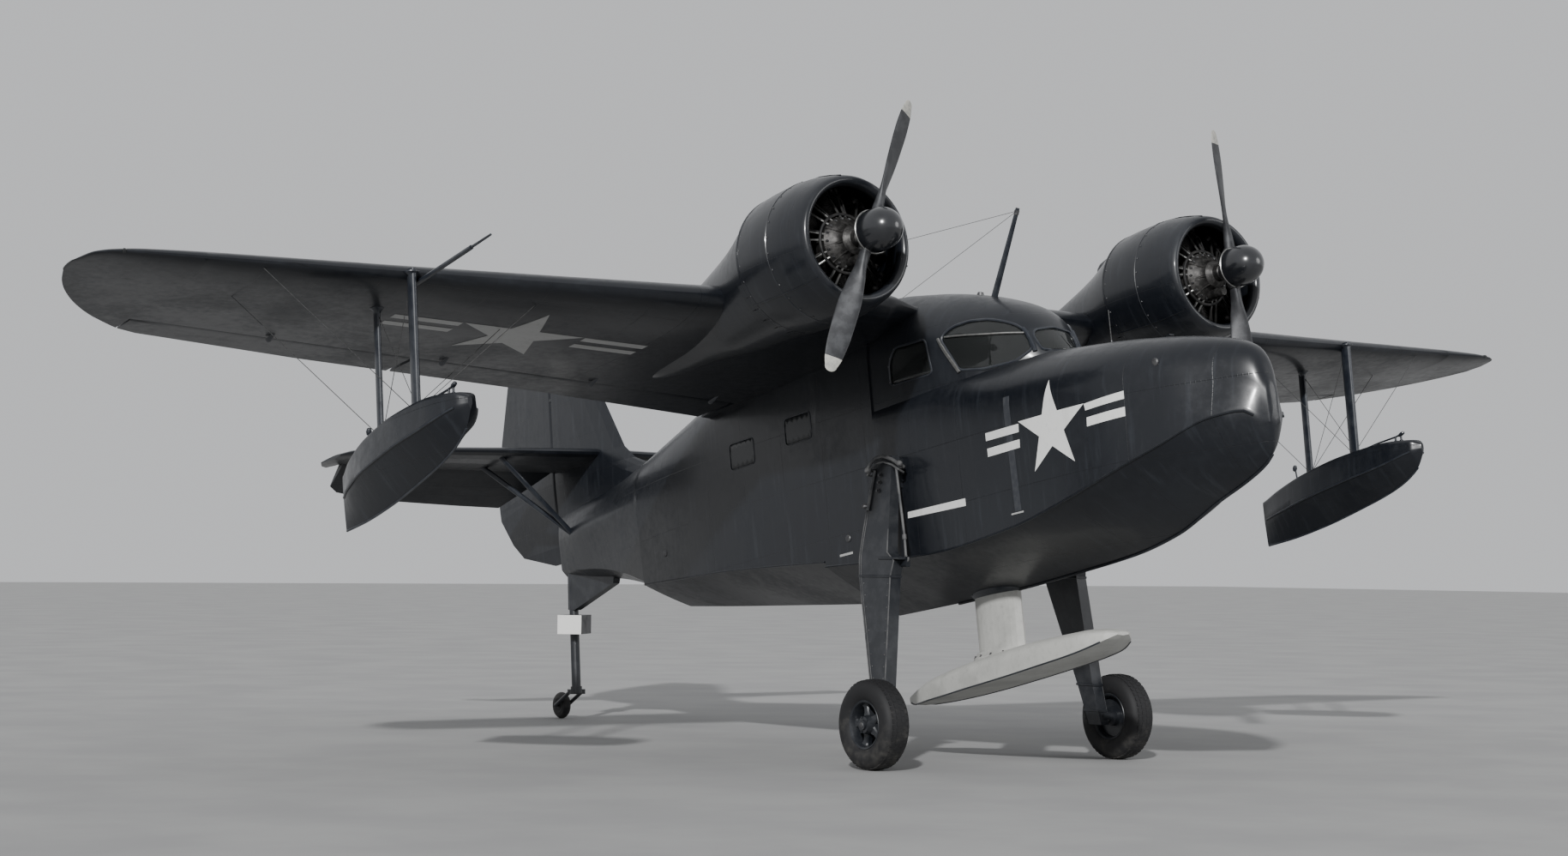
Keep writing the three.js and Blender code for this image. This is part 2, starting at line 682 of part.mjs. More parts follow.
function doorLug(z, side) {
  const { x, y } = doorHinge;
  const [y0, y1] = side < 0 ? [y - KNUCKLE.lug, y - KNUCKLE.radius / 2] : [y + KNUCKLE.radius / 2, y + KNUCKLE.lug];
  const barrel = bar(point(x, y, z), point(x, y, z + KNUCKLE.long), KNUCKLE.radius, KNUCKLE.radius, 10);
  return barrel.add(block(x - SKIN, x + KNUCKLE.radius / 2, y0, y1, z, z + KNUCKLE.long));
}

cabin = union([cabin, ...doorHinge.places.map((z) => doorLug(z, -1))]);
addPart(airframe, "hull_cabin", cabin, "navy");
const doorSkin = hullOuter.subtract(cabinRoom).intersect(doorRoom);
const doorWindow = block(300, 1000, ...DOOR_WINDOW);
const doorLugs = doorHinge.places.map((z) => doorLug(z + KNUCKLE.long + SEAT, 1));
addHinged(
  airframe, "cabin_door", union([doorSkin.subtract(doorWindow), ...doorLugs]), "navy",
  point(doorHinge.x, doorHinge.y, DOOR.low), point(doorHinge.x, doorHinge.y, DOOR.high),
);

// Cockpit seats on pedestals, and the instrument panel with two control columns
const SEAT_X = 360;
const seat = union([
  block(-SEAT_X - 120, -SEAT_X + 120, 3060, 3340, FLOOR + SEAT, 1220),
  block(-SEAT_X - 220, -SEAT_X + 220, 3000, 3440, 1200, 1290),
  plate([[3390, 1210], [3440, 1210], [3520, 1880], [3470, 1880]], "x", -SEAT_X - 210, -SEAT_X + 210),
  plate([[3450, 1860], [3505, 1860], [3525, 2020], [3475, 2020]], "x", -SEAT_X - 110, -SEAT_X + 110),
]);
const panel = union([
  plate([[2500, 1300], [2540, 1300], [2600, 1640], [2540, 1660]], "x", -400, 400),
  block(-70, 70, 2500, 2760, FLOOR + SEAT, 1330),
  ...[-SEAT_X, SEAT_X].flatMap((x) => [
    bar(point(x, 2520, 1400), point(x, 2790, 1480), 18, 18, 8),
    plate([[2775, 1390], [2805, 1390], [2805, 1580], [2775, 1580]], "x", x - 130, x + 130),
  ]),
]);
for (const [name, side] of SIDES) {
  addPart(airframe, `seat_${name}`, side < 0 ? seat : mirrored(seat), "gear");
}
addPart(airframe, "instrument_panel", panel, "gear");

// Canopy with its window openings and panes
const canopyBody = canopyLoft(0, 2216, ROOF_FRONT - SEAT);
const canopyPane = canopyLoft(12, 2240, ROOF_FRONT).subtract(canopyLoft(20, 2252, ROOF_FRONT + 40, 1400));
const canopyShell = canopyBody.subtract(cockpitOpening).subtract(hullRoom).subtract(wingRoom);
const WINDSHIELD = [
  [35, 1880], [230, 1850], [480, 1765], [600, 1800], [618, 1860], [600, 2070], [530, 2180], [400, 2240],
  [230, 2250], [35, 2190],
];
const SIDE_WINDOW = [[2960, 1800], [3060, 2110], [3560, 2110], [3640, 1990], [3640, 1800]];
const shrink = (corners, gap) => {
  const [a, b] = [0, 1].map((c) => corners.reduce((sum, p) => sum + p[c], 0) / corners.length);
  return corners.map(([p, q]) => [p + Math.sign(a - p) * gap, q + Math.sign(b - q) * gap]);
};
const windowCut = (corners, side, gap) => {
  const front = plate(shrink(corners, gap), "y", 2100, 3000);
  return side < 0 ? mirrored(front) : front;
};
const sideCut = (side, gap) => {
  const [from, to] = side < 0 ? [-1000, -450] : [450, 1000];
  return plate(shrink(SIDE_WINDOW, gap), "x", from, to);
};
let canopy = canopyShell;
for (const [name, side] of SIDES) {
  canopy = canopy.subtract(windowCut(WINDSHIELD, side, 0)).subtract(sideCut(side, 0));
  addPart(airframe, `windshield_${name}`, canopyPane.intersect(windowCut(WINDSHIELD, side, SEAT)), "glass");
  addPart(airframe, `cockpit_window_${name}`, canopyPane.intersect(sideCut(side, SEAT)), "glass");
}
addPart(airframe, "cockpit_canopy", canopy, "navy");

// Mast on the canopy and pitot boom on the starboard wing
const canopyRoom = canopyLoft(-SEAT, 2214, ROOF_FRONT - SEAT);
const mast = bar(point(0, 3075, 2440), point(0, 2640, 3150), 30, 18, 10).subtract(canopyRoom);
addPart(airframe, "radio_mast", mast, "steel");
const outerWingRoom = wingSpan(WING_JOINT, WING_END, (section) => fullRing(section, SEAT));
const PITOT_X = 5000;
const pitot = union([
  bar(point(-PITOT_X, 3960, 2455), point(-PITOT_X, 3015, 2516), 20, 18, 10),
  bar(point(-PITOT_X, 3065, 2513), point(-PITOT_X, 2715, 2535), 12, 9, 8),
]).subtract(outerWingRoom);
addPart(airframe, "pitot_boom", pitot, "steel");

// Nacelles: station, centre height, half width, half height.
const NACELLE = [
  [FIREWALL, 2652, 558, 558],
  [3600, 2555, 465, 455],
  [4000, 2490, 390, 385],
  [4500, 2435, 310, 295],
  [5000, 2385, 230, 240],
  [5350, 2345, 160, 175],
  [5540, 2320, 80, 110],
];
const NACELLE_SIDES = 24;

function nacelleRing([y, z, wide, high]) {
  const points = [];
  for (let k = 0; k < NACELLE_SIDES; k += 1) {
    const angle = (2 * Math.PI * k) / NACELLE_SIDES;
    points.push(point(-THRUST_X + wide * Math.cos(angle), y, z + high * Math.sin(angle)));
  }
  return points;
}

const nacelle = loft(NACELLE.map(nacelleRing)).subtract(wingRoom);
// Cowl profile: radius, station.
const COWL = [
  [470, 2450], [442, 2420], [440, 2385], [452, 2350], [476, COWL_LIP], [500, 2334], [520, 2365],
  [553, 2500], [575, 2620], [585, 2780], [582, 3000], [COWL_RADIUS, FIREWALL - SEAT],
  [552, FIREWALL - SEAT], [568, 3000], [570, 2780], [558, 2620], [525, 2500], [470, 2450],
];
const cowl = turnedAft(COWL, -THRUST_X, THRUST_Z, 28);

// Engine: crankcase profile of radius and station, nine cylinders, push rods and rear mount.
const CRANKCASE = [
  [0, SHAFT_END], [70, SHAFT_END], [75, 2330], [120, 2370], [150, 2430], [215, 2490], [225, 2580],
  [225, 2860], [180, 2900], [170, FIREWALL - SEAT], [0, FIREWALL - SEAT],
];
const CYLINDERS = 9;
const CYLINDER_AT = 2730;
const CYLINDER_TOP = 530;

function radial(angle, radius, y) {
  return point(-THRUST_X + radius * Math.sin(angle), y, THRUST_Z + radius * Math.cos(angle));
}

function engineBody() {
  const parts = [turnedAft(CRANKCASE, -THRUST_X, THRUST_Z, 14)];
  for (let k = 0; k < CYLINDERS; k += 1) {
    const angle = (2 * Math.PI * k) / CYLINDERS;
    parts.push(bar(radial(angle, 190, CYLINDER_AT), radial(angle, 470, CYLINDER_AT), 82, 82, 8));
    parts.push(bar(radial(angle, 465, CYLINDER_AT), radial(angle, CYLINDER_TOP, CYLINDER_AT), 96, 70, 8));
    for (const lean of [-0.09, 0.09]) {
      parts.push(bar(radial(angle + lean, 130, 2480), radial(angle + lean, 490, 2660), 11, 11, 4));
    }
  }
  return union(parts);
}

// Propeller blade: radius, chord, thickness, blade angle in degrees.
const BLADE = [
  [60, 84, 80, 62],
  [170, 88, 78, 58],
  [300, 100, 62, 50],
  [430, 142, 36, 42],
  [680, 186, 23, 32],
  [920, 180, 16, 25],
  [1100, 146, 12, 21],
  [1190, 98, 9, 19],
  [1235, 42, 7, 18],
];
const BLADE_SIDES = 10;
const SPINNER = [
  [0, 1840], [50, 1848], [95, 1872], [130, 1908], [155, 1955], [168, 2010], [172, 2070], [172, 2125],
  [178, 2128], [178, 2136], [0, 2136],
];
const PROP_BOSS = [[0, 2130], [95, 2130], [95, 2230], [70, 2230], [70, SHAFT_END - SEAT], [0, SHAFT_END - SEAT]];

function bladeRing([radius, chord, thick, degrees]) {
  const turn = THREE.MathUtils.degToRad(degrees);
  const points = [];
  for (let k = 0; k < BLADE_SIDES; k += 1) {
    const angle = (2 * Math.PI * k) / BLADE_SIDES;
    const a = (chord / 2) * Math.cos(angle);
    const b = (thick / 2) * Math.sin(angle);
    points.push(point(a * Math.cos(turn) - b * Math.sin(turn), a * Math.sin(turn) + b * Math.cos(turn), radius));
  }
  return points;
}

function propellerBody(side, turnDegrees) {
  const blade = loft(BLADE.map(bladeRing));
  const other = blade.rotate([0, 180, 0]);
  const blades = blade.add(other).rotate([0, turnDegrees, 0]).translate([side * THRUST_X, HUB_AT, THRUST_Z]);
  const boss = turnedAft(PROP_BOSS, side * THRUST_X, THRUST_Z, 20);
  return union([turnedAft(SPINNER, side * THRUST_X, THRUST_Z, 24), boss, blades]);
}

const engine = engineBody();
const BLADE_TURNS = { right: BLADE_TURN_RIGHT, left: BLADE_TURN_LEFT };
for (const [name, side] of SIDES) {
  const turned = (body) => (side < 0 ? body : mirrored(body));
  addPart(airframe, `nacelle_${name}`, turned(nacelle), "navy");
  addPart(airframe, `cowl_${name}`, turned(cowl), "navy");
  addPart(airframe, `engine_${name}`, turned(engine), "engine");
  addHinged(
    airframe, `propeller_${name}`, propellerBody(side, BLADE_TURNS[name]), "blade",
    point(side * THRUST_X, HUB_AT, THRUST_Z), point(side * THRUST_X, HUB_AT - 100, THRUST_Z),
  );
}

// Wing floats: station, keel height, chine half width, chine height, deck half width, deck height.
const FLOAT = [
  [3030, 1300, 18, 1345, 18, 1395],
  [3110, 1175, 95, 1320, 90, 1440],
  [3400, 1025, 190, 1240, 178, 1465],
  [3900, 905, 228, 1165, 205, 1435],
  [4400, 815, 205, 1095, 180, 1365],
  [4850, 765, 125, 1030, 105, 1275],
  [5170, 750, 12, 1000, 12, 1190],
];

function floatRing([y, keel, chineX, chineZ, deckX, deckZ]) {
  const half = [
    point(0, y, keel),
    point(chineX, y, chineZ),
    point(deckX, y, deckZ - 40),
    point(deckX * 0.6, y, deckZ - 10),
    point(0, y, deckZ),
  ];
  return mirroredRing(half).map((p) => p.add(point(-FLOAT_X, 0, 0)));
}

// Float struts: station at the foot, station at the head, radius.
const STRUTS = [[3875, 3820, 45], [4490, 4435, 38]];

function floatBody() {
  const parts = [loft(FLOAT.map(floatRing))];
  for (const [foot, head, radius] of STRUTS) {
    parts.push(bar(point(-FLOAT_X, foot, 1300), point(-FLOAT_X, head, 2500), radius, radius, 12, 0.45));
  }
  return union(parts).subtract(outerWingRoom);
}

const floatSolid = floatBody();
for (const [name, side] of SIDES) {
  addPart(airframe, `float_${name}`, side < 0 ? floatSolid : mirrored(floatSolid), "navy");
}

// Fin, rudder, tailplane and elevators
const ELEVATOR_OUTER = 2560;
const ELEVATOR_SPANS = [0, 400, 1000, 2000, 2450, ELEVATOR_OUTER];
const elevatorSections = ELEVATOR_SPANS.map((l) => tailSection(l, -1));
const tailStations = TAILPLANE.map((row) => row[0]);
const rightTail = loft(tailStations.map((l) => fullRing(tailSection(l, -1))));
const rightTailRoom = loft(tailStations.map((l) => fullRing(tailSection(l, -1), SEAT)));
const elevatorCove = loft(elevatorSections.map((s) => coveRing(s, ELEVATOR_SWING)));
const elevatorBracketCove = loft(elevatorSections.map((s) => coveRing(s, ELEVATOR_SWING, BRACKET_ROOM)));
const elevatorBrackets = rightTail
  .intersect(union(ELEVATOR_BRACKETS.map((x) => block(-x - BRACKET / 2, -x + BRACKET / 2, 9000, 11500, 2000, 2700))))
  .subtract(elevatorBracketCove);
const rightFixed = rightTail.subtract(elevatorCove).add(elevatorBrackets);
const tailplane = rightFixed.add(mirrored(rightFixed));
const tailRoom = rightTailRoom.add(mirrored(rightTailRoom));
const elevatorSpan = [...ELEVATOR_SPANS.slice(0, -1), ELEVATOR_OUTER - SWING_GAP - 4].map((l) => tailSection(l, -1));
const elevatorFull = loft(elevatorSpan.map(movingRing));
const innerCut = plate(
  [
    [10, ELEVATOR_HINGE - 300], [-ELEVATOR_INNER, ELEVATOR_HINGE - 300], [-ELEVATOR_INNER, ELEVATOR_HINGE],
    [-ELEVATOR_INNER - ELEVATOR_CUTAWAY * 900, ELEVATOR_HINGE + 900], [10, ELEVATOR_HINGE + 900],
  ],
  "z", TAILPLANE_HEIGHT - 300, TAILPLANE_HEIGHT + 300,
);
const elevator = elevatorFull.subtract(innerCut);

function drooped(body) {
  const degrees = -THREE.MathUtils.radToDeg(ELEVATOR_DROOP);
  return body
    .translate([0, -ELEVATOR_HINGE, -TAILPLANE_HEIGHT])
    .rotate([degrees, 0, 0])
    .translate([0, ELEVATOR_HINGE, TAILPLANE_HEIGHT]);
}

const finSections = FIN.map(finSection);
const finFull = loft(finSections.slice(2).map((s) => fullRing(s)));
const rudderCove = loft(finSections.map((s) => coveRing(s, RUDDER_SWING)));
const rudderBracketCove = loft(finSections.map((s) => coveRing(s, RUDDER_SWING, BRACKET_ROOM)));
const rudderBrackets = finFull
  .intersect(union(RUDDER_BRACKETS.map((z) => block(-200, 200, 10000, 11500, z - BRACKET / 2, z + BRACKET / 2))))
  .subtract(rudderBracketCove);
const fin = finFull.subtract(rudderCove).subtract(hullRoom).subtract(tailRoom)
  .intersect(block(-WIDE, WIDE, 8000, STERN, 1700, HIGH))
  .add(rudderBrackets);
const rudder = loft(finSections.slice(0, -1).map(movingRing));
const tailHull = slice(hullOuter, TAIL_JOINT + SEAT / 2, STERN + 10).subtract(rudderCove);
addPart(airframe, "hull_tail", tailHull, "navy");
addPart(airframe, "fin", fin, "navy");
addPart(airframe, "tailplane", tailplane, "navy");
addHinged(
  airframe, "rudder", rudder, "navy",
  point(0, RUDDER_HINGE, FIN[0][0]), point(0, RUDDER_HINGE, FIN[FIN.length - 1][0]),
);
for (const [name, side] of SIDES) {
  const turned = side < 0 ? drooped(elevator) : mirrored(drooped(elevator));
  addHinged(
    airframe, `elevator_${name}`, turned, "navy",
    point(side * ELEVATOR_INNER, ELEVATOR_HINGE, TAILPLANE_HEIGHT),
    point(side * 2500, ELEVATOR_HINGE, TAILPLANE_HEIGHT),
  );
}

// Tailplane struts: a V on each side, from the hull's lower side to the underside of the tailplane.
const TAIL_STRUT = { foot: point(-150, 9970, 1560), head: 1150, front: 9720, rear: 10200, radius: 26 };
const tailStrut = union([TAIL_STRUT.front, TAIL_STRUT.rear].map((y) => bar(
  TAIL_STRUT.foot, point(-TAIL_STRUT.head, y, TAILPLANE_HEIGHT), TAIL_STRUT.radius, TAIL_STRUT.radius, 12,
))).subtract(hullRoom).subtract(tailRoom);
for (const [name, side] of SIDES) {
  addPart(airframe, `tail_struts_${name}`, side < 0 ? tailStrut : mirrored(tailStrut), "navy");
}

// Hydro-ski: station, top height, bottom height, half width.
const SKI = [
  [1890, -515, -545, 60],
  [1970, -485, -585, 150],
  [2200, -458, -645, 225],
  [2700, -462, -700, 250],
  [3500, -515, -765, 250],
  [4150, -595, -805, 200],
  [4480, -665, -815, 110],
  [4640, -715, -780, 50],
];

function skiRing([y, top, bottom, wide]) {
  const half = [
    point(0, y, bottom),
    point(wide, y, bottom + 8),
    point(wide, y, (top + bottom) / 2),
    point(wide * 0.6, y, top - 18),
    point(0, y, top),
  ];
  return mirroredRing(half);
}

const ski = loft(SKI.map(skiRing));
const SKI_STRUT = { from: 3090, to: 3670, wide: 0.3 };
const strutMiddle = (SKI_STRUT.from + SKI_STRUT.to) / 2;
const strutHalf = (SKI_STRUT.to - SKI_STRUT.from) / 2;
const skiStrut = bar(
  point(0, strutMiddle, -560), point(0, strutMiddle, 120), strutHalf, strutHalf, 24, SKI_STRUT.wide,
).subtract(hullRoom);
addPart(airframe, "hydro_ski", ski.subtract(bar(
  point(0, strutMiddle, -560 - SEAT), point(0, strutMiddle, 120), strutHalf + SEAT, strutHalf + SEAT, 24,
  SKI_STRUT.wide,
)), "pale");
addPart(airframe, "ski_strut", skiStrut, "navy");

// Beaching legs in the ground frame. Leg sections: height, middle X, half X, Y from, Y to.
const LEG = [
  [2560, 850, 42, 3225, 3455],
  [1760, 970, 52, 3100, 3480],
  [1690, 985, 52, 2990, 3470],
  [1560, 1005, 52, 3010, 3440],
  [620, 1120, 55, 2920, 3110],
  [300, 1138, 45, 2840, 3000],
];

function legRing([z, x, half, y0, y1]) {
  const corners = [[-1, y0], [1, y0], [1, y1], [-1, y1]];
  return corners.map(([s, y]) => point(-(x + s * half), y, z));
}

const AXLE_RADIUS = 42;
const WHEEL_BORE = AXLE_RADIUS + 2 * SEAT;
const TAIL_AXLE_RADIUS = 14;
const TAIL_BORE = TAIL_AXLE_RADIUS + 2 * SEAT;
const leg = union([
  loft(LEG.map(legRing)),
  block(-850, -760 - SEAT, 3240, 3440, 2300, 2540),
  bar(point(-1120, WHEEL_Y, AXLE_HEIGHT), point(-1440, WHEEL_Y, AXLE_HEIGHT), AXLE_RADIUS, AXLE_RADIUS, 16),
]);
// Tyre and wheel profiles: radius, distance outward from the wheel's middle.
const WHEEL_RIM = 190;
const TYRE = [
  [WHEEL_RIM, -88], [232, -118], [290, -124], [336, -104], [361, -62], [TYRE_RADIUS, -20],
  [TYRE_RADIUS, 20], [361, 62], [336, 104], [290, 124], [232, 118], [WHEEL_RIM, 88], [WHEEL_RIM, -88],
];
const WHEEL = [
  [WHEEL_BORE, -90], [80, -90], [80, -20], [150, -12], [172, -92], [WHEEL_RIM - SEAT, -92],
  [WHEEL_RIM - SEAT, 92], [172, 92], [150, 12], [80, 28], [80, 100], [WHEEL_BORE, 100], [WHEEL_BORE, -90],
];
const TAIL_TYRE = [
  [52, -34], [80, -46], [118, -42], [136, -20], [TAIL_WHEEL_RADIUS, 0], [136, 20], [118, 42], [80, 46], [52, 34],
  [TAIL_BORE, 38], [TAIL_BORE, -38], [52, -34],
];

for (const [name, side] of SIDES) {
  const turned = (body) => (side < 0 ? body : mirrored(body));
  addPart(ground, `beaching_leg_${name}`, turned(leg), "gear");
  const pivot = new THREE.Group();
  pivot.position.set(side * WHEEL_X, WHEEL_Y, AXLE_HEIGHT);
  addPart(pivot, `tyre_${name}`, turned(turnedSideways(TYRE, 0, 0, 0, TYRE_SIDES)), "rubber");
  addPart(pivot, `wheel_${name}`, turned(turnedSideways(WHEEL, 0, 0, 0, TYRE_SIDES)), "pale");
  ground.add(pivot);
}

// Tail post, ballast box, castering fork and tail wheel
const POST_RADIUS = 48;
const POST_SIDES = 16;
const GUSSET_HALF = 40;
const FORK_ARM = 20;
const POST_TOP = point(0, 9945, 1560);
const POST_FOOT = point(0, 9840, 350);
const hullInGround = hullRoom
  .rotate([-THREE.MathUtils.radToDeg(PITCH), 0, 0])
  .translate([0, -GROUND_SHIFT, BOW_HEIGHT]);
const gusset = plate([[9040, 1540], [9060, 1440], [9830, 1150], [9960, 1150], [9990, 1620]], "x", -GUSSET_HALF, GUSSET_HALF);
const postTail = union([bar(POST_TOP, POST_FOOT, POST_RADIUS, POST_RADIUS, POST_SIDES), gusset]).subtract(hullInGround);
const BOX = { halfWide: 128, halfLong: 210, middle: 9896, z0: 900, z1: 1098, turn: -45 };
const postRoom = bar(POST_TOP, POST_FOOT, POST_RADIUS + SEAT, POST_RADIUS + SEAT, POST_SIDES);
const ballast = block(-BOX.halfWide, BOX.halfWide, -BOX.halfLong, BOX.halfLong, BOX.z0, BOX.z1)
  .rotate([0, 0, BOX.turn])
  .translate([0, BOX.middle, 0])
  .subtract(postRoom);
addPart(ground, "tail_post", postTail, "gear");
addPart(ground, "ballast_box", ballast, "pale");
const postLine = POST_FOOT.clone().sub(POST_TOP).normalize();
const forkHead = POST_FOOT.clone().addScaledVector(postLine, SEAT);
const forkFoot = forkHead.clone().addScaledVector(postLine, 70);
const wheelCentre = point(0, TAIL_WHEEL_Y, TAIL_AXLE_HEIGHT);
const forkArm = (x) => bar(
  point(x, forkFoot.y, forkFoot.z + FORK_ARM), point(x, wheelCentre.y, wheelCentre.z), FORK_ARM, FORK_ARM, 10,
);
const fork = union([
  bar(forkHead, forkFoot, 60, 60, 16),
  block(-FORK_HALF - 14, FORK_HALF + 14, forkFoot.y - 30, forkFoot.y + 40, forkFoot.z - 10, forkFoot.z + 40),
  forkArm(-FORK_HALF), forkArm(FORK_HALF),
  bar(
    point(-FORK_HALF, wheelCentre.y, wheelCentre.z), point(FORK_HALF, wheelCentre.y, wheelCentre.z),
    TAIL_AXLE_RADIUS, TAIL_AXLE_RADIUS, 10,
  ),
]);
addHinged(ground, "tail_fork", fork, "gear", forkHead, forkFoot);
const tailPivot = new THREE.Group();
tailPivot.position.copy(wheelCentre);
addPart(tailPivot, "tail_wheel", turnedSideways(TAIL_TYRE, 0, 0, 0, TAIL_TYRE_SIDES), "rubber");
ground.add(tailPivot);

// The origin is on the floor, under the middle of the whole aircraft.
aircraft.updateMatrixWorld(true);
const bounds = new THREE.Box3().setFromObject(aircraft, true);
aircraft.position.set(0, -(bounds.min.y + bounds.max.y) / 2, -bounds.min.z);

export default aircraft;
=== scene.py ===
"""Looks of the flying boat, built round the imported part. Tables are in millimetres, the scene in metres."""

import math

import bmesh
import bpy
from mathutils import Matrix, Vector


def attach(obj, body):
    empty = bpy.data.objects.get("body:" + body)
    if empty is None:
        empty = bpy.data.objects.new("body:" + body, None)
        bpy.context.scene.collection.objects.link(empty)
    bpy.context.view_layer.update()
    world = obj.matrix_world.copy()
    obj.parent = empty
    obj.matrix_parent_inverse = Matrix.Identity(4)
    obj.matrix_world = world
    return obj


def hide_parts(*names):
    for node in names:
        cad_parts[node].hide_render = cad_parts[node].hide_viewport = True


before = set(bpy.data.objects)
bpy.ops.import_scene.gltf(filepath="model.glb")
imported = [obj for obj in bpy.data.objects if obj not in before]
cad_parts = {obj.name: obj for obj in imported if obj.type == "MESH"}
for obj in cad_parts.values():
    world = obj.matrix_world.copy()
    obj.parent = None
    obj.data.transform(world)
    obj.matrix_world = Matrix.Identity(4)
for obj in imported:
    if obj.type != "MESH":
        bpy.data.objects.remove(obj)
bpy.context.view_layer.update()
PITCH = math.radians(9)
AIR = Matrix.Translation((0, -6.051645, 1.95)) @ Matrix.Rotation(-PITCH, 4, "X")
GROUND = Matrix.Translation((0, -5.631645, 0))
SIDES = (("right", "starboard", -1), ("left", "port", 1))
AFT = Vector((0, 1, 0))
UP = (0, 0, 1)

# Camera
CAMERA_AT = Vector((-14.215, -19.929645, 1.657))
YAW, TIP, ROLL = (math.radians(v) for v in (34.91, 2.93, 0.53))
FILM_WIDTH, FOCAL_LENGTH = 36.0, 60.80


def add_camera():
    data = bpy.data.cameras.new("camera")
    camera = bpy.data.objects.new("camera", data)
    bpy.context.scene.collection.objects.link(camera)
    ahead = Vector((math.sin(YAW) * math.cos(TIP), math.cos(YAW) * math.cos(TIP), math.sin(TIP)))
    level = Vector((math.cos(YAW), -math.sin(YAW), 0))
    above = level.cross(ahead)
    right = math.cos(ROLL) * level + math.sin(ROLL) * above
    up = -math.sin(ROLL) * level + math.cos(ROLL) * above
    turn = Matrix((right, up, -ahead)).transposed().to_4x4()
    camera.matrix_world = Matrix.Translation(CAMERA_AT) @ turn
    data.sensor_width = FILM_WIDTH
    data.lens = FOCAL_LENGTH
    data.clip_start, data.clip_end = 0.1, 400
    bpy.context.scene.camera = camera


add_camera()


# Materials
class Paint:
    """A material built node by node. Positions are those of the airframe: X to port, Y aft, Z up."""

    def __init__(self, name, air=True):
        self.material = bpy.data.materials.new(name)
        self.material.use_nodes = True
        self.tree = self.material.node_tree
        self.shader = self.tree.nodes["Principled BSDF"]
        self.place = self.add("ShaderNodeTexCoord").outputs["Object"]
        if air:
            mapping = self.add("ShaderNodeMapping", vector_type="TEXTURE")
            mapping.inputs["Location"].default_value = AIR.translation
            mapping.inputs["Rotation"].default_value = (-PITCH, 0, 0)
            self.link(self.place, mapping.inputs["Vector"])
            self.place = mapping.outputs["Vector"]

    def add(self, kind, **settings):
        node = self.tree.nodes.new(kind)
        for key, value in settings.items():
            setattr(node, key, value)
        return node

    def link(self, value, socket):
        if isinstance(value, (int, float, tuple)):
            socket.default_value = value
        else:
            self.tree.links.new(value, socket)

    def math(self, operation, a, b=0.0):
        node = self.add("ShaderNodeMath", operation=operation)
        self.link(a, node.inputs[0])
        self.link(b, node.inputs[1])
        return node.outputs[0]

    def times(self, a, b):
        return self.math("MULTIPLY", a, b)

    def plus(self, a, b):
        return self.math("ADD", a, b)

    def axes(self):
        node = self.add("ShaderNodeSeparateXYZ")
        self.link(self.place, node.inputs[0])
        return node.outputs

    def noise(self, scale, detail=4.0, rough=0.55, stretch=None):
        node = self.add("ShaderNodeTexNoise")
        source = self.place
        if stretch:
            mapping = self.add("ShaderNodeMapping")
            mapping.inputs["Scale"].default_value = stretch
            self.link(source, mapping.inputs["Vector"])
            source = mapping.outputs["Vector"]
        self.link(source, node.inputs["Vector"])
        for name, number in (("Scale", scale), ("Detail", detail), ("Roughness", rough)):
            node.inputs[name].default_value = number
        return node.outputs[0]

    def ramp(self, value, low, high, to_low=0.0, to_high=1.0):
        node = self.add("ShaderNodeMapRange", interpolation_type="SMOOTHSTEP")
        for name, number in (("From Min", low), ("From Max", high), ("To Min", to_low), ("To Max", to_high)):
            node.inputs[name].default_value = number
        self.link(value, node.inputs["Value"])
        return node.outputs[0]

    def mix(self, share, first, second):
        node = self.add("ShaderNodeMix", data_type="RGBA")
        self.link(share, node.inputs["Factor"])
        for value, name in ((first, "A"), (second, "B")):
            socket = [s for s in node.inputs if s.name == name and s.type == "RGBA"][0]
            self.link((*value, 1.0) if isinstance(value, tuple) else value, socket)
        return [s for s in node.outputs if s.type == "RGBA"][0]

    def seams(self, value, pitch, wide, shift=0.0):
        """1 on thin lines every pitch, 0 between them."""
        share = self.math("FRACT", self.math("DIVIDE", self.plus(value, shift), pitch))
        off = self.math("ABSOLUTE", self.math("SUBTRACT", share, 0.5))
        return self.ramp(off, 0.0, wide / pitch, 1.0, 0.0)

    def bump(self, height, distance, strength=1.0, after=None):
        node = self.add("ShaderNodeBump")
        node.inputs["Distance"].default_value = distance
        node.inputs["Strength"].default_value = strength
        self.link(height, node.inputs["Height"])
        if after is not None:
            self.link(after, node.inputs["Normal"])
        return node.outputs[0]

    def finish(self, color, rough, normal=None, **constants):
        self.link(color, self.shader.inputs["Base Color"])
        self.link(rough, self.shader.inputs["Roughness"])
        if normal is not None:
            self.link(normal, self.shader.inputs["Normal"])
        for key, value in constants.items():
            self.shader.inputs[key.replace("_", " ")].default_value = value
        return self.material


NAVY = (0.0062, 0.0076, 0.0108)
DUSTY = (0.017, 0.0195, 0.024)
RIVETS = (0.034, 0.005)


def scaled(color, share):
    return tuple(v * share for v in color)


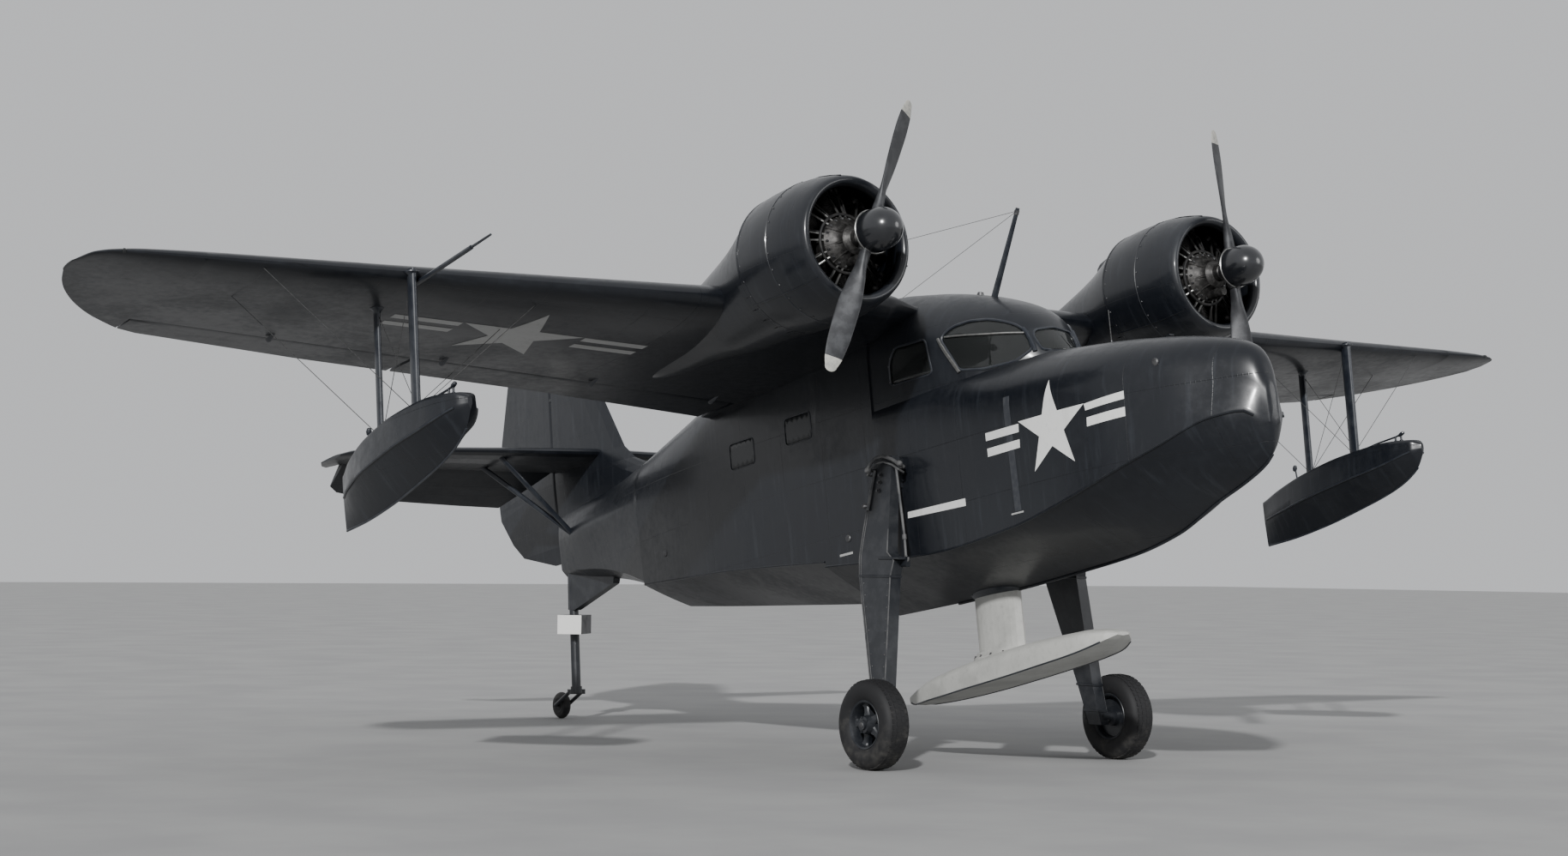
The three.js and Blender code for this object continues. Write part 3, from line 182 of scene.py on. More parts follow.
def navy_paint(name, along, pitch, coat=0.22):
    """Glossy dark paint on riveted sheet, with ribs every pitch along one axis."""
    p = Paint(name)
    x, y, z = p.axes()
    long, cross = (y, z) if along == "y" else (x, y)
    second = pitch * 0.83
    broad = p.noise(1.1, 5)
    fine = p.noise(14, 6, 0.65)
    streak = p.noise(3.0, 4, 0.6, (1.0, 6.0, 0.6))
    line = p.math("MAXIMUM", p.seams(long, pitch, 0.003), p.seams(cross, second, 0.0028, 0.11))
    by_rib = p.times(p.seams(long, pitch, 0.016), p.seams(cross, *RIVETS))
    by_second = p.times(p.seams(cross, second, 0.016, 0.11), p.seams(long, *RIVETS))
    rivet = p.math("MAXIMUM", by_rib, by_second)
    dust = p.ramp(p.plus(p.times(broad, 0.7), p.times(fine, 0.3)), 0.42, 0.72)
    color = p.mix(p.times(dust, 0.55), NAVY, DUSTY)
    color = p.mix(p.times(p.ramp(streak, 0.52, 0.75), 0.35), color, scaled(DUSTY, 1.8))
    color = p.mix(p.times(line, 0.75), color, scaled(NAVY, 0.3))
    rough = p.plus(p.plus(0.27, p.times(dust, 0.22)), p.times(fine, 0.1))
    sheet = p.bump(p.noise(2.4, 2, 0.4), 0.004, 0.6)
    normal = p.bump(p.math("SUBTRACT", p.times(rivet, 0.6), line), 0.0012, 0.7, sheet)
    return p.finish(color, rough, normal, Coat_Weight=coat, Coat_Roughness=0.14, Specular_IOR_Level=0.38)


def worn_metal(name, base, other, rough, metallic, scale=20.0, depth=0.0006, air=True, coat=0.0):
    """Paint or metal in two blotchy colours."""
    p = Paint(name, air)
    blotch = p.noise(scale, 6, 0.6)
    fine = p.noise(scale * 7, 3, 0.6)
    color = p.mix(p.ramp(blotch, 0.4, 0.66), base, other)
    color = p.mix(p.times(p.ramp(fine, 0.5, 0.8), 0.3), color, scaled(base, 0.5))
    normal = p.bump(p.plus(blotch, fine), depth, 0.8)
    return p.finish(color, p.plus(rough, p.times(blotch, 0.18)), normal, Metallic=metallic, Coat_Weight=coat,
                    Coat_Roughness=0.15)


def glass_paint():
    p = Paint("glazing_acrylic")
    dust = p.ramp(p.noise(5.0, 5, 0.6), 0.45, 0.75)
    color = p.mix(p.times(dust, 0.3), (0.2, 0.215, 0.215), (0.17, 0.18, 0.175))
    normal = p.bump(p.noise(9.0, 2, 0.4), 0.0004, 0.5)
    return p.finish(color, p.plus(0.012, p.times(dust, 0.05)), normal, Transmission_Weight=0.93, IOR=1.49,
                    Specular_IOR_Level=0.6)


def rubber_paint():
    p = Paint("tyre_rubber_dusty", air=False)
    dust = p.ramp(p.plus(p.noise(9.0, 6, 0.65), p.times(p.axes()[2], -0.35)), 0.36, 0.72)
    color = p.mix(dust, (0.013, 0.013, 0.014), (0.052, 0.05, 0.046))
    normal = p.bump(p.noise(160.0, 3, 0.6), 0.0008, 0.6)
    return p.finish(color, p.plus(0.66, p.times(dust, 0.25)), normal, Specular_IOR_Level=0.35)


def ballast_paint():
    """White enamel on the face turned toward the sun; the faces turned away get a near-black painted shade over
    the same white box.
    """
    p = Paint("ballast_enamel", air=False)
    # Faces toward the sun's bearing take the white; the other faces take painted shade in place of their shadowed
    # white
    turned = p.add("ShaderNodeVectorMath", operation="DOT_PRODUCT")
    p.link(p.add("ShaderNodeTexCoord").outputs["Normal"], turned.inputs[0])
    turned.inputs[1].default_value = (-0.7071, -0.7071, 0)
    front = p.ramp(turned.outputs["Value"], 0.6, 0.8)
    grime = p.ramp(p.noise(9.0, 5, 0.6), 0.45, 0.75)
    white = p.mix(p.times(grime, 0.35), (0.76, 0.755, 0.73), (0.6, 0.59, 0.56))
    # Painted shade: the colour of the faces turned away from the sun
    dark = p.mix(grime, (0.018, 0.019, 0.022), (0.035, 0.036, 0.038))
    return p.finish(p.mix(front, dark, white), p.plus(0.38, p.times(grime, 0.3)))


def marking_paint(name, bright):
    p = Paint(name)
    worn = p.ramp(p.noise(26.0, 6, 0.7), 0.5, 0.8)
    grime = p.ramp(p.noise(2.2, 4, 0.6, (1.0, 5.0, 0.7)), 0.45, 0.8)
    color = p.mix(p.times(worn, 0.35), scaled((1, 1, 0.98), bright), (bright * 0.55,) * 3)
    color = p.mix(p.times(grime, 0.3), color, scaled((0.6, 0.6, 0.55), bright))
    return p.finish(color, p.plus(0.38, p.times(worn, 0.25)), p.bump(worn, 0.0004, 0.5))


HULL_PAINT = navy_paint("navy_hull", "y", 0.62)
WING_PAINT = navy_paint("navy_wing", "x", 0.46)
COWL_PAINT = navy_paint("navy_cowl", "y", 0.71, 0.4)
FLOAT_PAINT = navy_paint("navy_float", "y", 0.4)
TAIL_PAINT = navy_paint("navy_tail", "y", 0.5)
STRUT_PAINT = worn_metal("navy_strut", (0.011, 0.014, 0.021), (0.026, 0.03, 0.037), 0.3, 0.0, 9.0, coat=0.3)
SPINNER_PAINT = worn_metal(
    "spinner_gloss", (0.008, 0.009, 0.011), (0.014, 0.015, 0.018), 0.16, 0.0, 6.0, 0.0002, coat=0.8)
BLADE_PAINT = worn_metal("blade_grey_worn", (0.026, 0.027, 0.03), (0.05, 0.052, 0.056), 0.36, 0.3, 11.0)
BLADE_TIP = worn_metal("blade_tip_pale", (0.42, 0.41, 0.37), (0.3, 0.3, 0.28), 0.45, 0.0, 30.0)
ENGINE_METAL = worn_metal("engine_cast", (0.034, 0.033, 0.032), (0.085, 0.082, 0.079), 0.42, 0.75, 24.0)
ENGINE_DARK = worn_metal("engine_dark", (0.02, 0.02, 0.021), (0.045, 0.043, 0.041), 0.5, 0.5, 18.0)
BRIGHT_METAL = worn_metal("bright_rod", (0.32, 0.32, 0.31), (0.2, 0.2, 0.195), 0.26, 0.95, 40.0)
GEAR_PAINT = worn_metal(
    "gear_paint", (0.012, 0.014, 0.018), (0.028, 0.03, 0.034), 0.34, 0.1, 7.0, air=False, coat=0.2)
BARE_METAL = worn_metal("bare_tube", (0.09, 0.09, 0.095), (0.17, 0.17, 0.17), 0.38, 0.8, 22.0)
PALE_PAINT = worn_metal("pale_primer", (0.46, 0.46, 0.435), (0.37, 0.37, 0.35), 0.5, 0.0, 2.5)
CABIN_PAINT = worn_metal("cabin_lining", (0.008, 0.009, 0.008), (0.014, 0.015, 0.013), 0.6, 0.0, 8.0)
SEAT_PAINT = worn_metal("seat_enamel", (0.05, 0.052, 0.047), (0.08, 0.082, 0.076), 0.45, 0.1, 14.0)
WIRE_METAL = worn_metal("wire_steel", (0.13, 0.13, 0.13), (0.07, 0.07, 0.07), 0.4, 0.8, 50.0)
EDGE_PAINT = worn_metal("edge_worn", (0.13, 0.13, 0.13), (0.05, 0.052, 0.056), 0.32, 0.3, 6.0, air=False)
WINDOW_PAINT = worn_metal(
    "cabin_pane_dark", (0.015, 0.017, 0.019), (0.024, 0.026, 0.028), 0.3, 0.0, 4.0, 0.0002, coat=0.15)
CREAM_PAINT = ballast_paint()
GLASS = glass_paint()
RUBBER = rubber_paint()
WHITE = marking_paint("insignia_white", 0.74)
# Insignia white darkened to a painted shade, for the wing's star and bars in the wing's shadow; the hull ticks
# take it too
SHADED_WHITE = marking_paint("insignia_shaded", 0.4)
LINE_PAINT = worn_metal("line_paint", (0.03, 0.033, 0.04), (0.045, 0.048, 0.054), 0.5, 0.0, 20.0)
# Material slot of each paint, by the first word of the paint's name
SLOTS = {
    "navy": "navy_paint", "spinner": "blade_grey", "engine": "engine_metal", "bright": "bare_steel",
    "bare": "bare_steel", "wire": "bare_steel", "gear": "gear_steel", "edge": "gear_steel", "pale": "pale_paint",
    "insignia": "pale_paint", "line": "pale_paint", "glazing": "glazing", "tyre": "tyre_rubber",
}


# Meshes
def shade(mesh, angle):
    """Smooth faces, with sharp edges kept where they turn more than the angle."""
    mesh.polygons.foreach_set("use_smooth", [True] * len(mesh.polygons))
    mesh.set_sharp_from_angle(angle=math.radians(angle))


def make(name, points, faces, paint, place=AIR, angle=32, outward=True):
    mesh = bpy.data.meshes.new(name)
    mesh.from_pydata([place @ (Vector(p) / 1000) for p in points], [], faces)
    mesh.validate()
    if outward:
        bm = bmesh.new()
        bm.from_mesh(mesh)
        bmesh.ops.recalc_face_normals(bm, faces=bm.faces)
        bm.to_mesh(mesh)
        bm.free()
    for entry in paint if isinstance(paint, list) else [paint]:
        mesh.materials.append(entry)
    shade(mesh, angle)
    obj = bpy.data.objects.new(name, mesh)
    bpy.context.scene.collection.objects.link(obj)
    return obj


def joined(name, parts, paint, place=AIR, angle=32):
    """One mesh of many bodies: parts is a list of (points, faces)."""
    points, faces = [], []
    for some, shapes in parts:
        start = len(points)
        points.extend(some)
        faces.extend(tuple(start + k for k in face) for face in shapes)
    return make(name, points, faces, paint, place, angle)


def settle(obj, body, slot, *nodes):
    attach(obj, body)
    if nodes:
        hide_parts(*nodes)
    return obj


def piece(name, parts, paint, *nodes, body="airframe", slot=None, place=AIR, angle=32):
    """Bodies joined in one mesh that rides on a body, in place of nodes where some are named."""
    obj = joined(name, parts, paint, place, angle)
    return settle(obj, body, slot or SLOTS[paint.name.split("_")[0]], *nodes)


def turns(count, phase=0.0):
    return [2 * math.pi * (k + phase) / count for k in range(count)]


def solid(rings, caps=True):
    """Points and faces of a body whose skin runs over rings of points."""
    count = len(rings[0])
    faces = []
    for i in range(len(rings) - 1):
        for j in range(count):
            k = (j + 1) % count
            faces.append((i * count + j, i * count + k, (i + 1) * count + k, (i + 1) * count + j))
    if caps:
        faces.append(tuple(range(count - 1, -1, -1)))
        faces.append(tuple((len(rings) - 1) * count + j for j in range(count)))
    return [p for ring in rings for p in ring], faces


def lathe(profile, centre, axis, sides=48, loop=False):
    """A turned body: the profile lists radius and distance along the axis; loop makes a ring."""
    axis = Vector(axis).normalized()
    one = axis.orthogonal().normalized()
    two = axis.cross(one)
    middle = Vector(centre)
    rings = []
    for radius, along in profile:
        radius = max(radius, 0.05)
        rings.append([
            middle + axis * along + radius * (one * math.cos(a) + two * math.sin(a)) for a in turns(sides)
        ])
    if loop:
        rings.append(rings[0])
    return solid(rings, not loop)


def tube(path, radius, sides=8, closed=False, flat=1.0):
    """A tube along a path of points, with one radius or one for each point."""
    path = [Vector(p) for p in path]
    count = len(path)
    rings = []
    side = None
    for i, p in enumerate(path):
        if closed:
            ahead = path[(i + 1) % count] - path[i - 1]
        else:
            ahead = path[min(i + 1, count - 1)] - path[max(i - 1, 0)]
        ahead.normalize()
        side = (ahead.orthogonal() if side is None else side - ahead * side.dot(ahead)).normalized()
        up = ahead.cross(side)
        r = radius[i] if isinstance(radius, list) else radius
        rings.append([p + r * (side * math.cos(a) * flat + up * math.sin(a)) for a in turns(sides)])
    if closed:
        rings.append(rings[0])
    return solid(rings, not closed)


def block(x0, x1, y0, y1, z0, z1, bevel=0.0):
    """A box, with the edges along Y cut off where it has a bevel."""
    b = min(bevel, (x1 - x0) / 3, (z1 - z0) / 3)
    corners = rectangle(x0, x1, z0, z1)
    if b:
        corners = [(x0 + b, z0), (x1 - b, z0), (x1, z0 + b), (x1, z1 - b), (x1 - b, z1), (x0 + b, z1),
                   (x0, z1 - b), (x0, z0 + b)]
    return solid([[Vector((x, y, z)) for x, z in corners] for y in (y0, y1)])


def rectangle(a0, a1, b0, b1):
    return [(a0, b0), (a1, b0), (a1, b1), (a0, b1)]


def rounded(corners, count=5, radius=45):
    """An outline with its corners rounded."""
    out = []
    total = len(corners)
    for i in range(total):
        a, b, c = (Vector(corners[(i + d) % total]) for d in (-1, 0, 1))
        p = b + (a - b).normalized() * min(radius, (a - b).length / 2.2)
        q = b + (c - b).normalized() * min(radius, (c - b).length / 2.2)
        out += [p.lerp(b, t).lerp(b.lerp(q, t), t) for t in (k / count for k in range(count + 1))]
    return out


def cutter(*parts):
    return joined("cutter", parts, CABIN_PAINT)


def prism(corners, axis, start, end):
    """A cutter: an outline in one level axis and height, drawn out along the other level axis."""
    return cutter(solid([[Vector((d, a, b) if axis == "x" else (a, d, b)) for a, b in corners]
                         for d in (start, end)]))


def carve(obj, tools, angle=30):
    """Cuts the tools out of obj for good and removes them."""
    for tool in tools:
        modifier = obj.modifiers.new("cut", "BOOLEAN")
        modifier.operation = "DIFFERENCE"
        modifier.object = tool
        modifier.solver = "EXACT"
        bpy.context.view_layer.update()
        graph = bpy.context.evaluated_depsgraph_get()
        mesh = bpy.data.meshes.new_from_object(obj.evaluated_get(graph))
        obj.modifiers.clear()
        old = obj.data
        obj.data = mesh
        bpy.data.meshes.remove(old)
    for tool in tools:
        bpy.data.objects.remove(tool)
    shade(obj.data, angle)
    return obj


def laid(outlines, project, pitch=60):
    """Points and faces of flat outlines cut fine and laid on a surface by project."""
    bm = bmesh.new()
    for outline in outlines:
        face = bm.faces.new([bm.verts.new((a, b, 0)) for a, b in outline])
        bmesh.ops.triangulate(bm, faces=[face])
    for _ in range(12):
        long = [e for e in bm.edges if e.calc_length() > pitch]
        if not long:
            break
        bmesh.ops.subdivide_edges(bm, edges=long, cuts=1)
        bmesh.ops.triangulate(bm, faces=[f for f in bm.faces if len(f.verts) > 3])
    points = [project(v.co.x, v.co.y) for v in bm.verts]
    bm.verts.index_update()
    faces = [tuple(v.index for v in f.verts) for f in bm.faces]
    bm.free()
    return points, faces


def pane(name, outline, project, pitch, thick, paint, *nodes):
    """A sheet of glazing laid on a surface."""
    obj = make(name, *laid([outline], project, pitch), paint, outward=False)
    settle(obj, "airframe", "glazing", *nodes)
    modifier = obj.modifiers.new("thick", "SOLIDIFY")
    modifier.thickness = thick / 1000
    modifier.offset = 0


def decal(name, outlines, project, paint):
    settle(make(name, *laid(outlines, project), paint, outward=False), "airframe", "pale_paint")


def slope(rows, column, k):
    return (rows[k + 1][column] - rows[k][column]) / (rows[k + 1][0] - rows[k][0])


def tangent(rows, column, k):
    last = len(rows) - 1
    if k in (0, last):
        return slope(rows, column, min(k, last - 1))
    before, after = slope(rows, column, k - 1), slope(rows, column, k)
    return 0 if before * after <= 0 else 2 * before * after / (before + after)


def row_index(rows, at):
    return next((k for k in range(len(rows) - 2) if rows[k + 1][0] >= at), len(rows) - 2)


def between(rows, column, at):
    """Smooth value between the rows of a table whose first column is the station."""
    i = row_index(rows, at)
    length = rows[i + 1][0] - rows[i][0]
    t = (at - rows[i][0]) / length
    p, q = rows[i][column], rows[i + 1][column]
    start, end = tangent(rows, column, i), tangent(rows, column, i + 1)
    return p + (q - p) * t * t * (3 - 2 * t) + length * (start * t * (1 - t) ** 2 - end * t * t * (1 - t))


def row_at(rows, at):
    """A row between the rows of a table, on straight lines."""
    i = row_index(rows, at)
    t = (at - rows[i][0]) / (rows[i + 1][0] - rows[i][0])
    return [a + (b - a) * t for a, b in zip(rows[i], rows[i + 1])]


def columns(rows, at):
    return [between(rows, column, at) for column in range(1, len(rows[0]))]


def steps(start, end, pitch):
    count = max(1, math.ceil((end - start) / pitch))
    return [start + (end - start) * k / count for k in range(count + 1)]


def shrunk(ring, scale, move):
    middle = sum(ring, Vector()) / len(ring)
    return [middle + (p - middle) * scale + Vector(move) for p in ring]


# Hull lines: station, keel height, chine half width, chine height, side half width, side height, crown height
HULL_PARTS = [
    [
        [0, 770, 55, 800, 60, 1010, 1130], [50, 585, 140, 850, 110, 1080, 1320],
        [130, 515, 215, 905, 170, 1120, 1420], [320, 430, 345, 885, 285, 1160, 1510],
        [670, 318, 540, 742, 500, 1200, 1604], [1150, 145, 690, 582, 680, 1230, 1690],
        [1640, 65, 745, 455, 742, 1250, 1752], [2210, 32, 760, 360, 760, 1290, 1806],
        [3080, 0, 760, 312, 760, 1500, 1812], [3900, -8, 760, 350, 760, 1560, 1815],
    ],
    [
        [3902, -8, 760, 350, 760, 2080, 2690], [4300, -5, 760, 390, 760, 2100, 2730],
        [4740, 0, 760, 430, 760, 2100, 2725],
    ],
    [
        [4742, 108, 752, 470, 760, 2100, 2725], [5700, 232, 750, 570, 760, 2040, 2630],
        [6450, 330, 725, 640, 745, 1880, 2470], [7200, 428, 655, 690, 685, 1720, 2290],
        [8080, 550, 520, 760, 560, 1580, 2100],
    ],
    [
        [8082, 640, 500, 790, 559, 1580, 2100], [8720, 850, 370, 980, 440, 1550, 1990],
        [9330, 1010, 250, 1110, 325, 1540, 1920], [9900, 1100, 150, 1190, 215, 1540, 1880],
        [10420, 1190, 60, 1260, 75, 1560, 1840],
    ],
]
BOW_STATIONS = [6, 14, 26, 40, 58, 80, 105, 135, 170, 210, 260]
BOW_END = 320
SKIN = 60
FLOOR = 450
# The bottom bulges from bow to BULGE_END. ROUNDING is the power of the crown's curve.
BULGE, BULGE_END = (0.34, 0.46), 2300
ROUNDING = 0.86
CABIN_WINDOWS = {
    "fore": rounded(rectangle(4790, 5190, 1580, 1820)), "aft": rounded(rectangle(5690, 6090, 1520, 1760)),
}
LOCKER = (-230, 230, 905, 1355, 700, 2200)
DOORWAY = (300, 1000, 6560, 7180, 800, 1700)


def crown(x, z, top, y, count=16):
    points = []
    for k in range(count + 1):
        angle = k / count * math.pi / 2
        out = 0 if k == count else math.cos(angle) ** ROUNDING
        points.append(Vector((x * out, y, z + (top - z) * math.sin(angle) ** ROUNDING)))
    return points


def crown_half(wide, low, top, height):
    """Half width of a crown at a height."""
    share = min((height - low) / (top - low), 1.0) ** (1 / ROUNDING)
    return wide * math.cos(math.asin(share)) ** ROUNDING


def mirrored(half):
    return half + [Vector((-p.x, p.y, p.z)) for p in half[-2:0:-1]]


def hull_ring(rows, at, inset, floor):
    """A cross-section of the hull, set in by inset; nothing of it lies below the floor."""
    keel, chine_x, chine_z, side_x, side_z, top = columns(rows, at)
    low, bilge = keel + inset, chine_z + inset
    bulge = BULGE[0] + (BULGE[1] - BULGE[0]) * min(at, BULGE_END) / BULGE_END
    half = []
    for k in range(9):
        t = k / 8
        share = (4 * bulge - 1) * t + (2 - 4 * bulge) * t * t
        half.append(Vector(((chine_x - inset) * t, at, max(low + (bilge - low) * share, floor))))
    upper = crown(side_x - inset, side_z, top - inset, at)
    half += [half[8].lerp(upper[0], k / 6) for k in range(1, 6)]
    return mirrored(half + upper)


def hull_rings(inset, start, end, floor=-math.inf, pitch=60):
    rings = []
    for rows in HULL_PARTS:
        first, last = max(rows[0][0], start), min(rows[-1][0], end)
        if first >= last:
            continue
        stations = steps(first, last, pitch)
        if first < BOW_END:
            stations = [first] + BOW_STATIONS + steps(BOW_END, last, pitch)
        rings.extend(hull_ring(rows, at, inset, floor) for at in stations)
    return rings


def hull_half(at, height):
    """Half width of the hull's side at a station and height."""
    rows = next((r for r in HULL_PARTS if at <= r[-1][0]), HULL_PARTS[-1])
    _, chine_x, chine_z, side_x, side_z, top = columns(rows, at)
    if height <= side_z:
        return chine_x + (side_x - chine_x) * max((height - chine_z) / (side_z - chine_z), 0.0)
    return crown_half(side_x, side_z, top, height)


def on_hull(side, out=1.8):
    return lambda s, h: Vector((side * (hull_half(s, h) + out), s, h))


# Canopy: station, half width at the sill, shoulder height, crown height
CANOPY = [
    [2215, 60, 1700, 1835], [2270, 190, 1720, 1935], [2360, 300, 1740, 2070], [2470, 400, 1770, 2200],
    [2620, 510, 1810, 2310], [2800, 600, 1850, 2395], [3100, 672, 1930, 2505], [3450, 720, 2010, 2600],
    [3900, 745, 2080, 2690],
]
CANOPY_END = 3900
COCKPIT = (36, 2330, 3990, 1400)
# Outlines on the canopy: side pane and side window by station and height, front pane by X and height
SIDE_PANE = rounded([
    (2330, 1855), (2386, 2000), (2450, 2078), (2535, 2128), (2658, 2172), (2801, 2182), (2925, 2162), (3005, 2112),
    (3022, 2066), (2850, 1772), (2640, 1745), (2430, 1770),
], 3, 40)
SIDE_WINDOW = rounded([(3130, 1800), (3190, 2110), (3560, 2110), (3640, 1990), (3640, 1800)], 4, 50)
FRONT_PANE = rounded([
    (-196, 1845), (196, 1845), (222, 1975), (190, 2030), (0, 2060), (-190, 2030), (-222, 1975),
], 4, 30)
# Bars over the side pane and posts ahead of it, by station and height
TOP_BAR = ((2985, 2081), (2900, 2073), (2780, 2057), (2633, 2036), (2500, 2022), (2400, 2008))
REAR_BAR = [(3050 - 202 * k / 6, 2078 - 322 * k / 6) for k in range(7)]
POST = ((2420, 2050), (2388, 2005), (2350, 1930), (2326, 1870), (2316, 1836))


def canopy_ring(at, inset, foot):
    wide, shoulder, top = columns(CANOPY, min(at, CANOPY_END))
    x = max(wide - inset, 20)
    upper = crown(x, shoulder, max(top - inset, shoulder + 20), at, 22)
    half = [Vector((0, at, foot)), Vector((x, at, foot + 1))]
    half += [half[1].lerp(upper[0], k / 4) for k in (1, 2, 3)]
    return mirrored(half + upper)


def canopy_rings(inset, start, end, foot=1560):
    return [canopy_ring(at, inset, foot) for at in steps(start, end, 35)]


def canopy_station(x, h):
    """Station where the canopy's outside passes a given half width and height."""
    low, high = 2216.0, 3900.0
    for _ in range(30):
        at = (low + high) / 2
        wide, shoulder, top = columns(CANOPY, at)
        out, rise = abs(x) / wide, max(h - shoulder, 0) / (top - shoulder)
        if out ** (2 / ROUNDING) + rise ** (2 / ROUNDING) > 1:
            low = at
        else:
            high = at
    return high


def canopy_half(at, h):
    wide, shoulder, top = columns(CANOPY, at)
    return wide if h <= shoulder else crown_half(wide, shoulder, top, h)


def on_canopy(side, out):
    return lambda s, h: Vector((side * (canopy_half(s, h) + out), s, h))


def on_front(out):
    return lambda x, h: Vector((x, canopy_station(x, h) + out, h))


def build_hull():
    rings = hull_rings(0, 0, 10420)
    middle = Vector((0, 0, 950))
    cap = [
        [middle + (p - middle) * scale + Vector((0, ahead, 0)) for p in rings[0]]
        for scale, ahead in ((0.35, -14), (0.7, -10), (0.9, -5))
    ]
    hull = joined("hull_shell", [solid(cap + rings)], [HULL_PAINT, CABIN_PAINT])
    room = cutter(solid(hull_rings(SKIN, 2300, 7400, FLOOR, 200)))
    tools = [room, cutter(solid(canopy_rings(*COCKPIT))), cutter(block(*LOCKER)), cutter(block(*DOORWAY))]
    for outline in CABIN_WINDOWS.values():
        tools += [prism(outline, "x", -1000, -400), prism(outline, "x", 400, 1000)]
    carve(hull, tools)
    settle(hull, "airframe", "navy_paint", "hull_bow", "hull_cabin", "hull_tail")


def build_canopy():
    canopy = joined("canopy_shell", [solid(canopy_rings(0, 2216, CANOPY_END))], [HULL_PAINT, CABIN_PAINT])
    tools = [cutter(solid(canopy_rings(*COCKPIT))), prism(FRONT_PANE, "y", 2100, 2900)]
    for reach in ((-1000, -225), (225, 1000)):
        tools += [prism(SIDE_PANE, "x", *reach), prism(SIDE_WINDOW, "x", *reach)]
    carve(canopy, tools)
    settle(canopy, "airframe", "navy_paint", "cockpit_canopy")
    frames, bolts, posts, bars = [], [], [], []
    for label, _, side in SIDES:
        def on(points, out):
            return [on_canopy(side, out)(s, h) for s, h in points]

        for name, node, outline, pitch, radius in (("windshield_pane", "windshield", SIDE_PANE, 30, 12),
                                                   ("side_pane", "cockpit_window", SIDE_WINDOW, 60, 9)):
            pane(f"{name}_{label}", outline, on_canopy(side, -12), pitch, 6, GLASS, f"{node}_{label}")
            path = on(outline, 1)
            frames.append(tube(path, radius, 6, closed=True))
        bolts += [lathe([(0, 11), (5, 10), (7, 6), (7, 0)], p, (side, 0, 0), 6) for p in path[::3]]
        bars += [tube(on(REAR_BAR, 9), 15), tube(on(TOP_BAR, 9), 9)]
        posts.append(tube(on(POST, 6), 20))
    pane("windshield_pane_front", FRONT_PANE, on_front(13), 30, 6, GLASS)
    frames.append(tube([on_front(-1)(x, h) for x, h in FRONT_PANE], 11, 6, closed=True))
    piece("canopy_frames", frames, STRUT_PAINT)
    piece("windshield_posts", posts, STRUT_PAINT)
    piece("canopy_frame_screws", bolts, BARE_METAL)
    piece("windshield_bars", bars, BRIGHT_METAL)


FLAP_INNER = 860
AILERON_OUTER = 6650
# Wing: span, nose station, nose height, tail station, tail height, thickness ratio
WING = [
    [0, 3350, 2450, 6480, 2030, 0.15], [2600, 3600, 2470, 6270, 2217, 0.14], [5000, 3834, 2526, 6075, 2348, 0.12],
    [6500, 3930, 2552, 5890, 2440, 0.105], [6900, 3945, 2556, 5600, 2462, 0.1],
    [7150, 3950, 2556, 5320, 2480, 0.092], [7350, 3975, 2553, 5010, 2496, 0.08],
    [7480, 4040, 2548, 4735, 2510, 0.068], [7560, 4230, 2537, 4480, 2522, 0.055],
]
STRAIGHT_SPAN = 6450
# Hinge line of flap and aileron: span, station, height
WING_HINGE = [[FLAP_INNER, 5890, 2189], [AILERON_OUTER, 5518, 2491]]
# Moving surfaces: inner and outer span
SURFACES = {"flap": (FLAP_INNER, 4130), "aileron": (4170, AILERON_OUTER)}
COVE_UP, COVE_DOWN, COVE_GAP = 30, 42, 8
CAMBER = 0.018
SHARES = [0.5 - 0.5 * math.cos(math.pi * k / 22) for k in range(23)]


def thickness(x, ratio):
    shape = 0.2969 * math.sqrt(x) - 0.126 * x - 0.3516 * x * x + 0.2843 * x ** 3 - 0.1036 * x ** 4
    return 5 * ratio * shape


class Section:
    """An aerofoil section at one span, on the port side."""

    def __init__(self, nose, tail, ratio, hinge=None):
        self.nose = Vector(nose)
        self.chord = Vector(tail) - self.nose
        self.normal = Vector((0, -self.chord.z, self.chord.y)).normalized()
        self.ratio = ratio
        if hinge:
            self.hinge = Vector(hinge)
            self.share = (self.hinge - self.nose).dot(self.chord) / self.chord.length_squared
            self.radius = min((self.at(self.share, s) - self.hinge).length for s in (1, -1)) - 1

    def at(self, x, side):
        long = self.chord.length
        lift = CAMBER * 4 * x * (1 - x) * long + side * (thickness(x, self.ratio) * long + 5 * x)
        return self.nose + self.chord * x + self.normal * lift

    def arc(self, radius, count, start, end):
        aft = self.chord.normalized()
        angles = (math.radians(start + (end - start) * k / count) for k in range(count + 1))
        return [self.hinge + aft * radius * math.cos(a) + self.normal * radius * math.sin(a) for a in angles]

    def skin(self, start, end):
        """Upper skin from start forward to the nose and back along the lower skin to end."""
        return [self.at(start * (1 - k), 1) for k in SHARES[:-1]] + [self.at(end * k, -1) for k in SHARES]

    def full(self, start=0.78):
        rear = [self.at(start + (1 - start) * k / 7, -1) for k in range(1, 8)]
        return self.skin(start, start) + rear + [self.at(1 - (1 - start) * k / 7, 1) for k in range(7)]

    def coved(self):
        radius = self.radius + COVE_GAP
        high, low = (self.share - radius * part / self.chord.length for part in (0.27, 0.39))
        return self.skin(high, low) + self.arc(radius, 13, -90 - COVE_DOWN, -270 + COVE_UP)

    def moving(self):
        ends = [self.share + (1 - self.share) * k / 10 for k in range(1, 11)]
        lower = [self.at(x, -1) for x in reversed(ends)]
        return [self.at(x, 1) for x in ends] + lower + self.arc(self.radius, 16, -90, -270)


def wing_section(span):
    values = columns(WING, span) if span > STRAIGHT_SPAN else row_at(WING, span)[1:]
    nose_y, nose_z, tail_y, tail_z, ratio = values
    hinge = (span, *row_at(WING_HINGE, span)[1:])
    return Section((span, nose_y, nose_z), (span, tail_y, tail_z), ratio, hinge)


def sided(ring, side):
    return [Vector((side * p.x, p.y, p.z)) for p in ring]


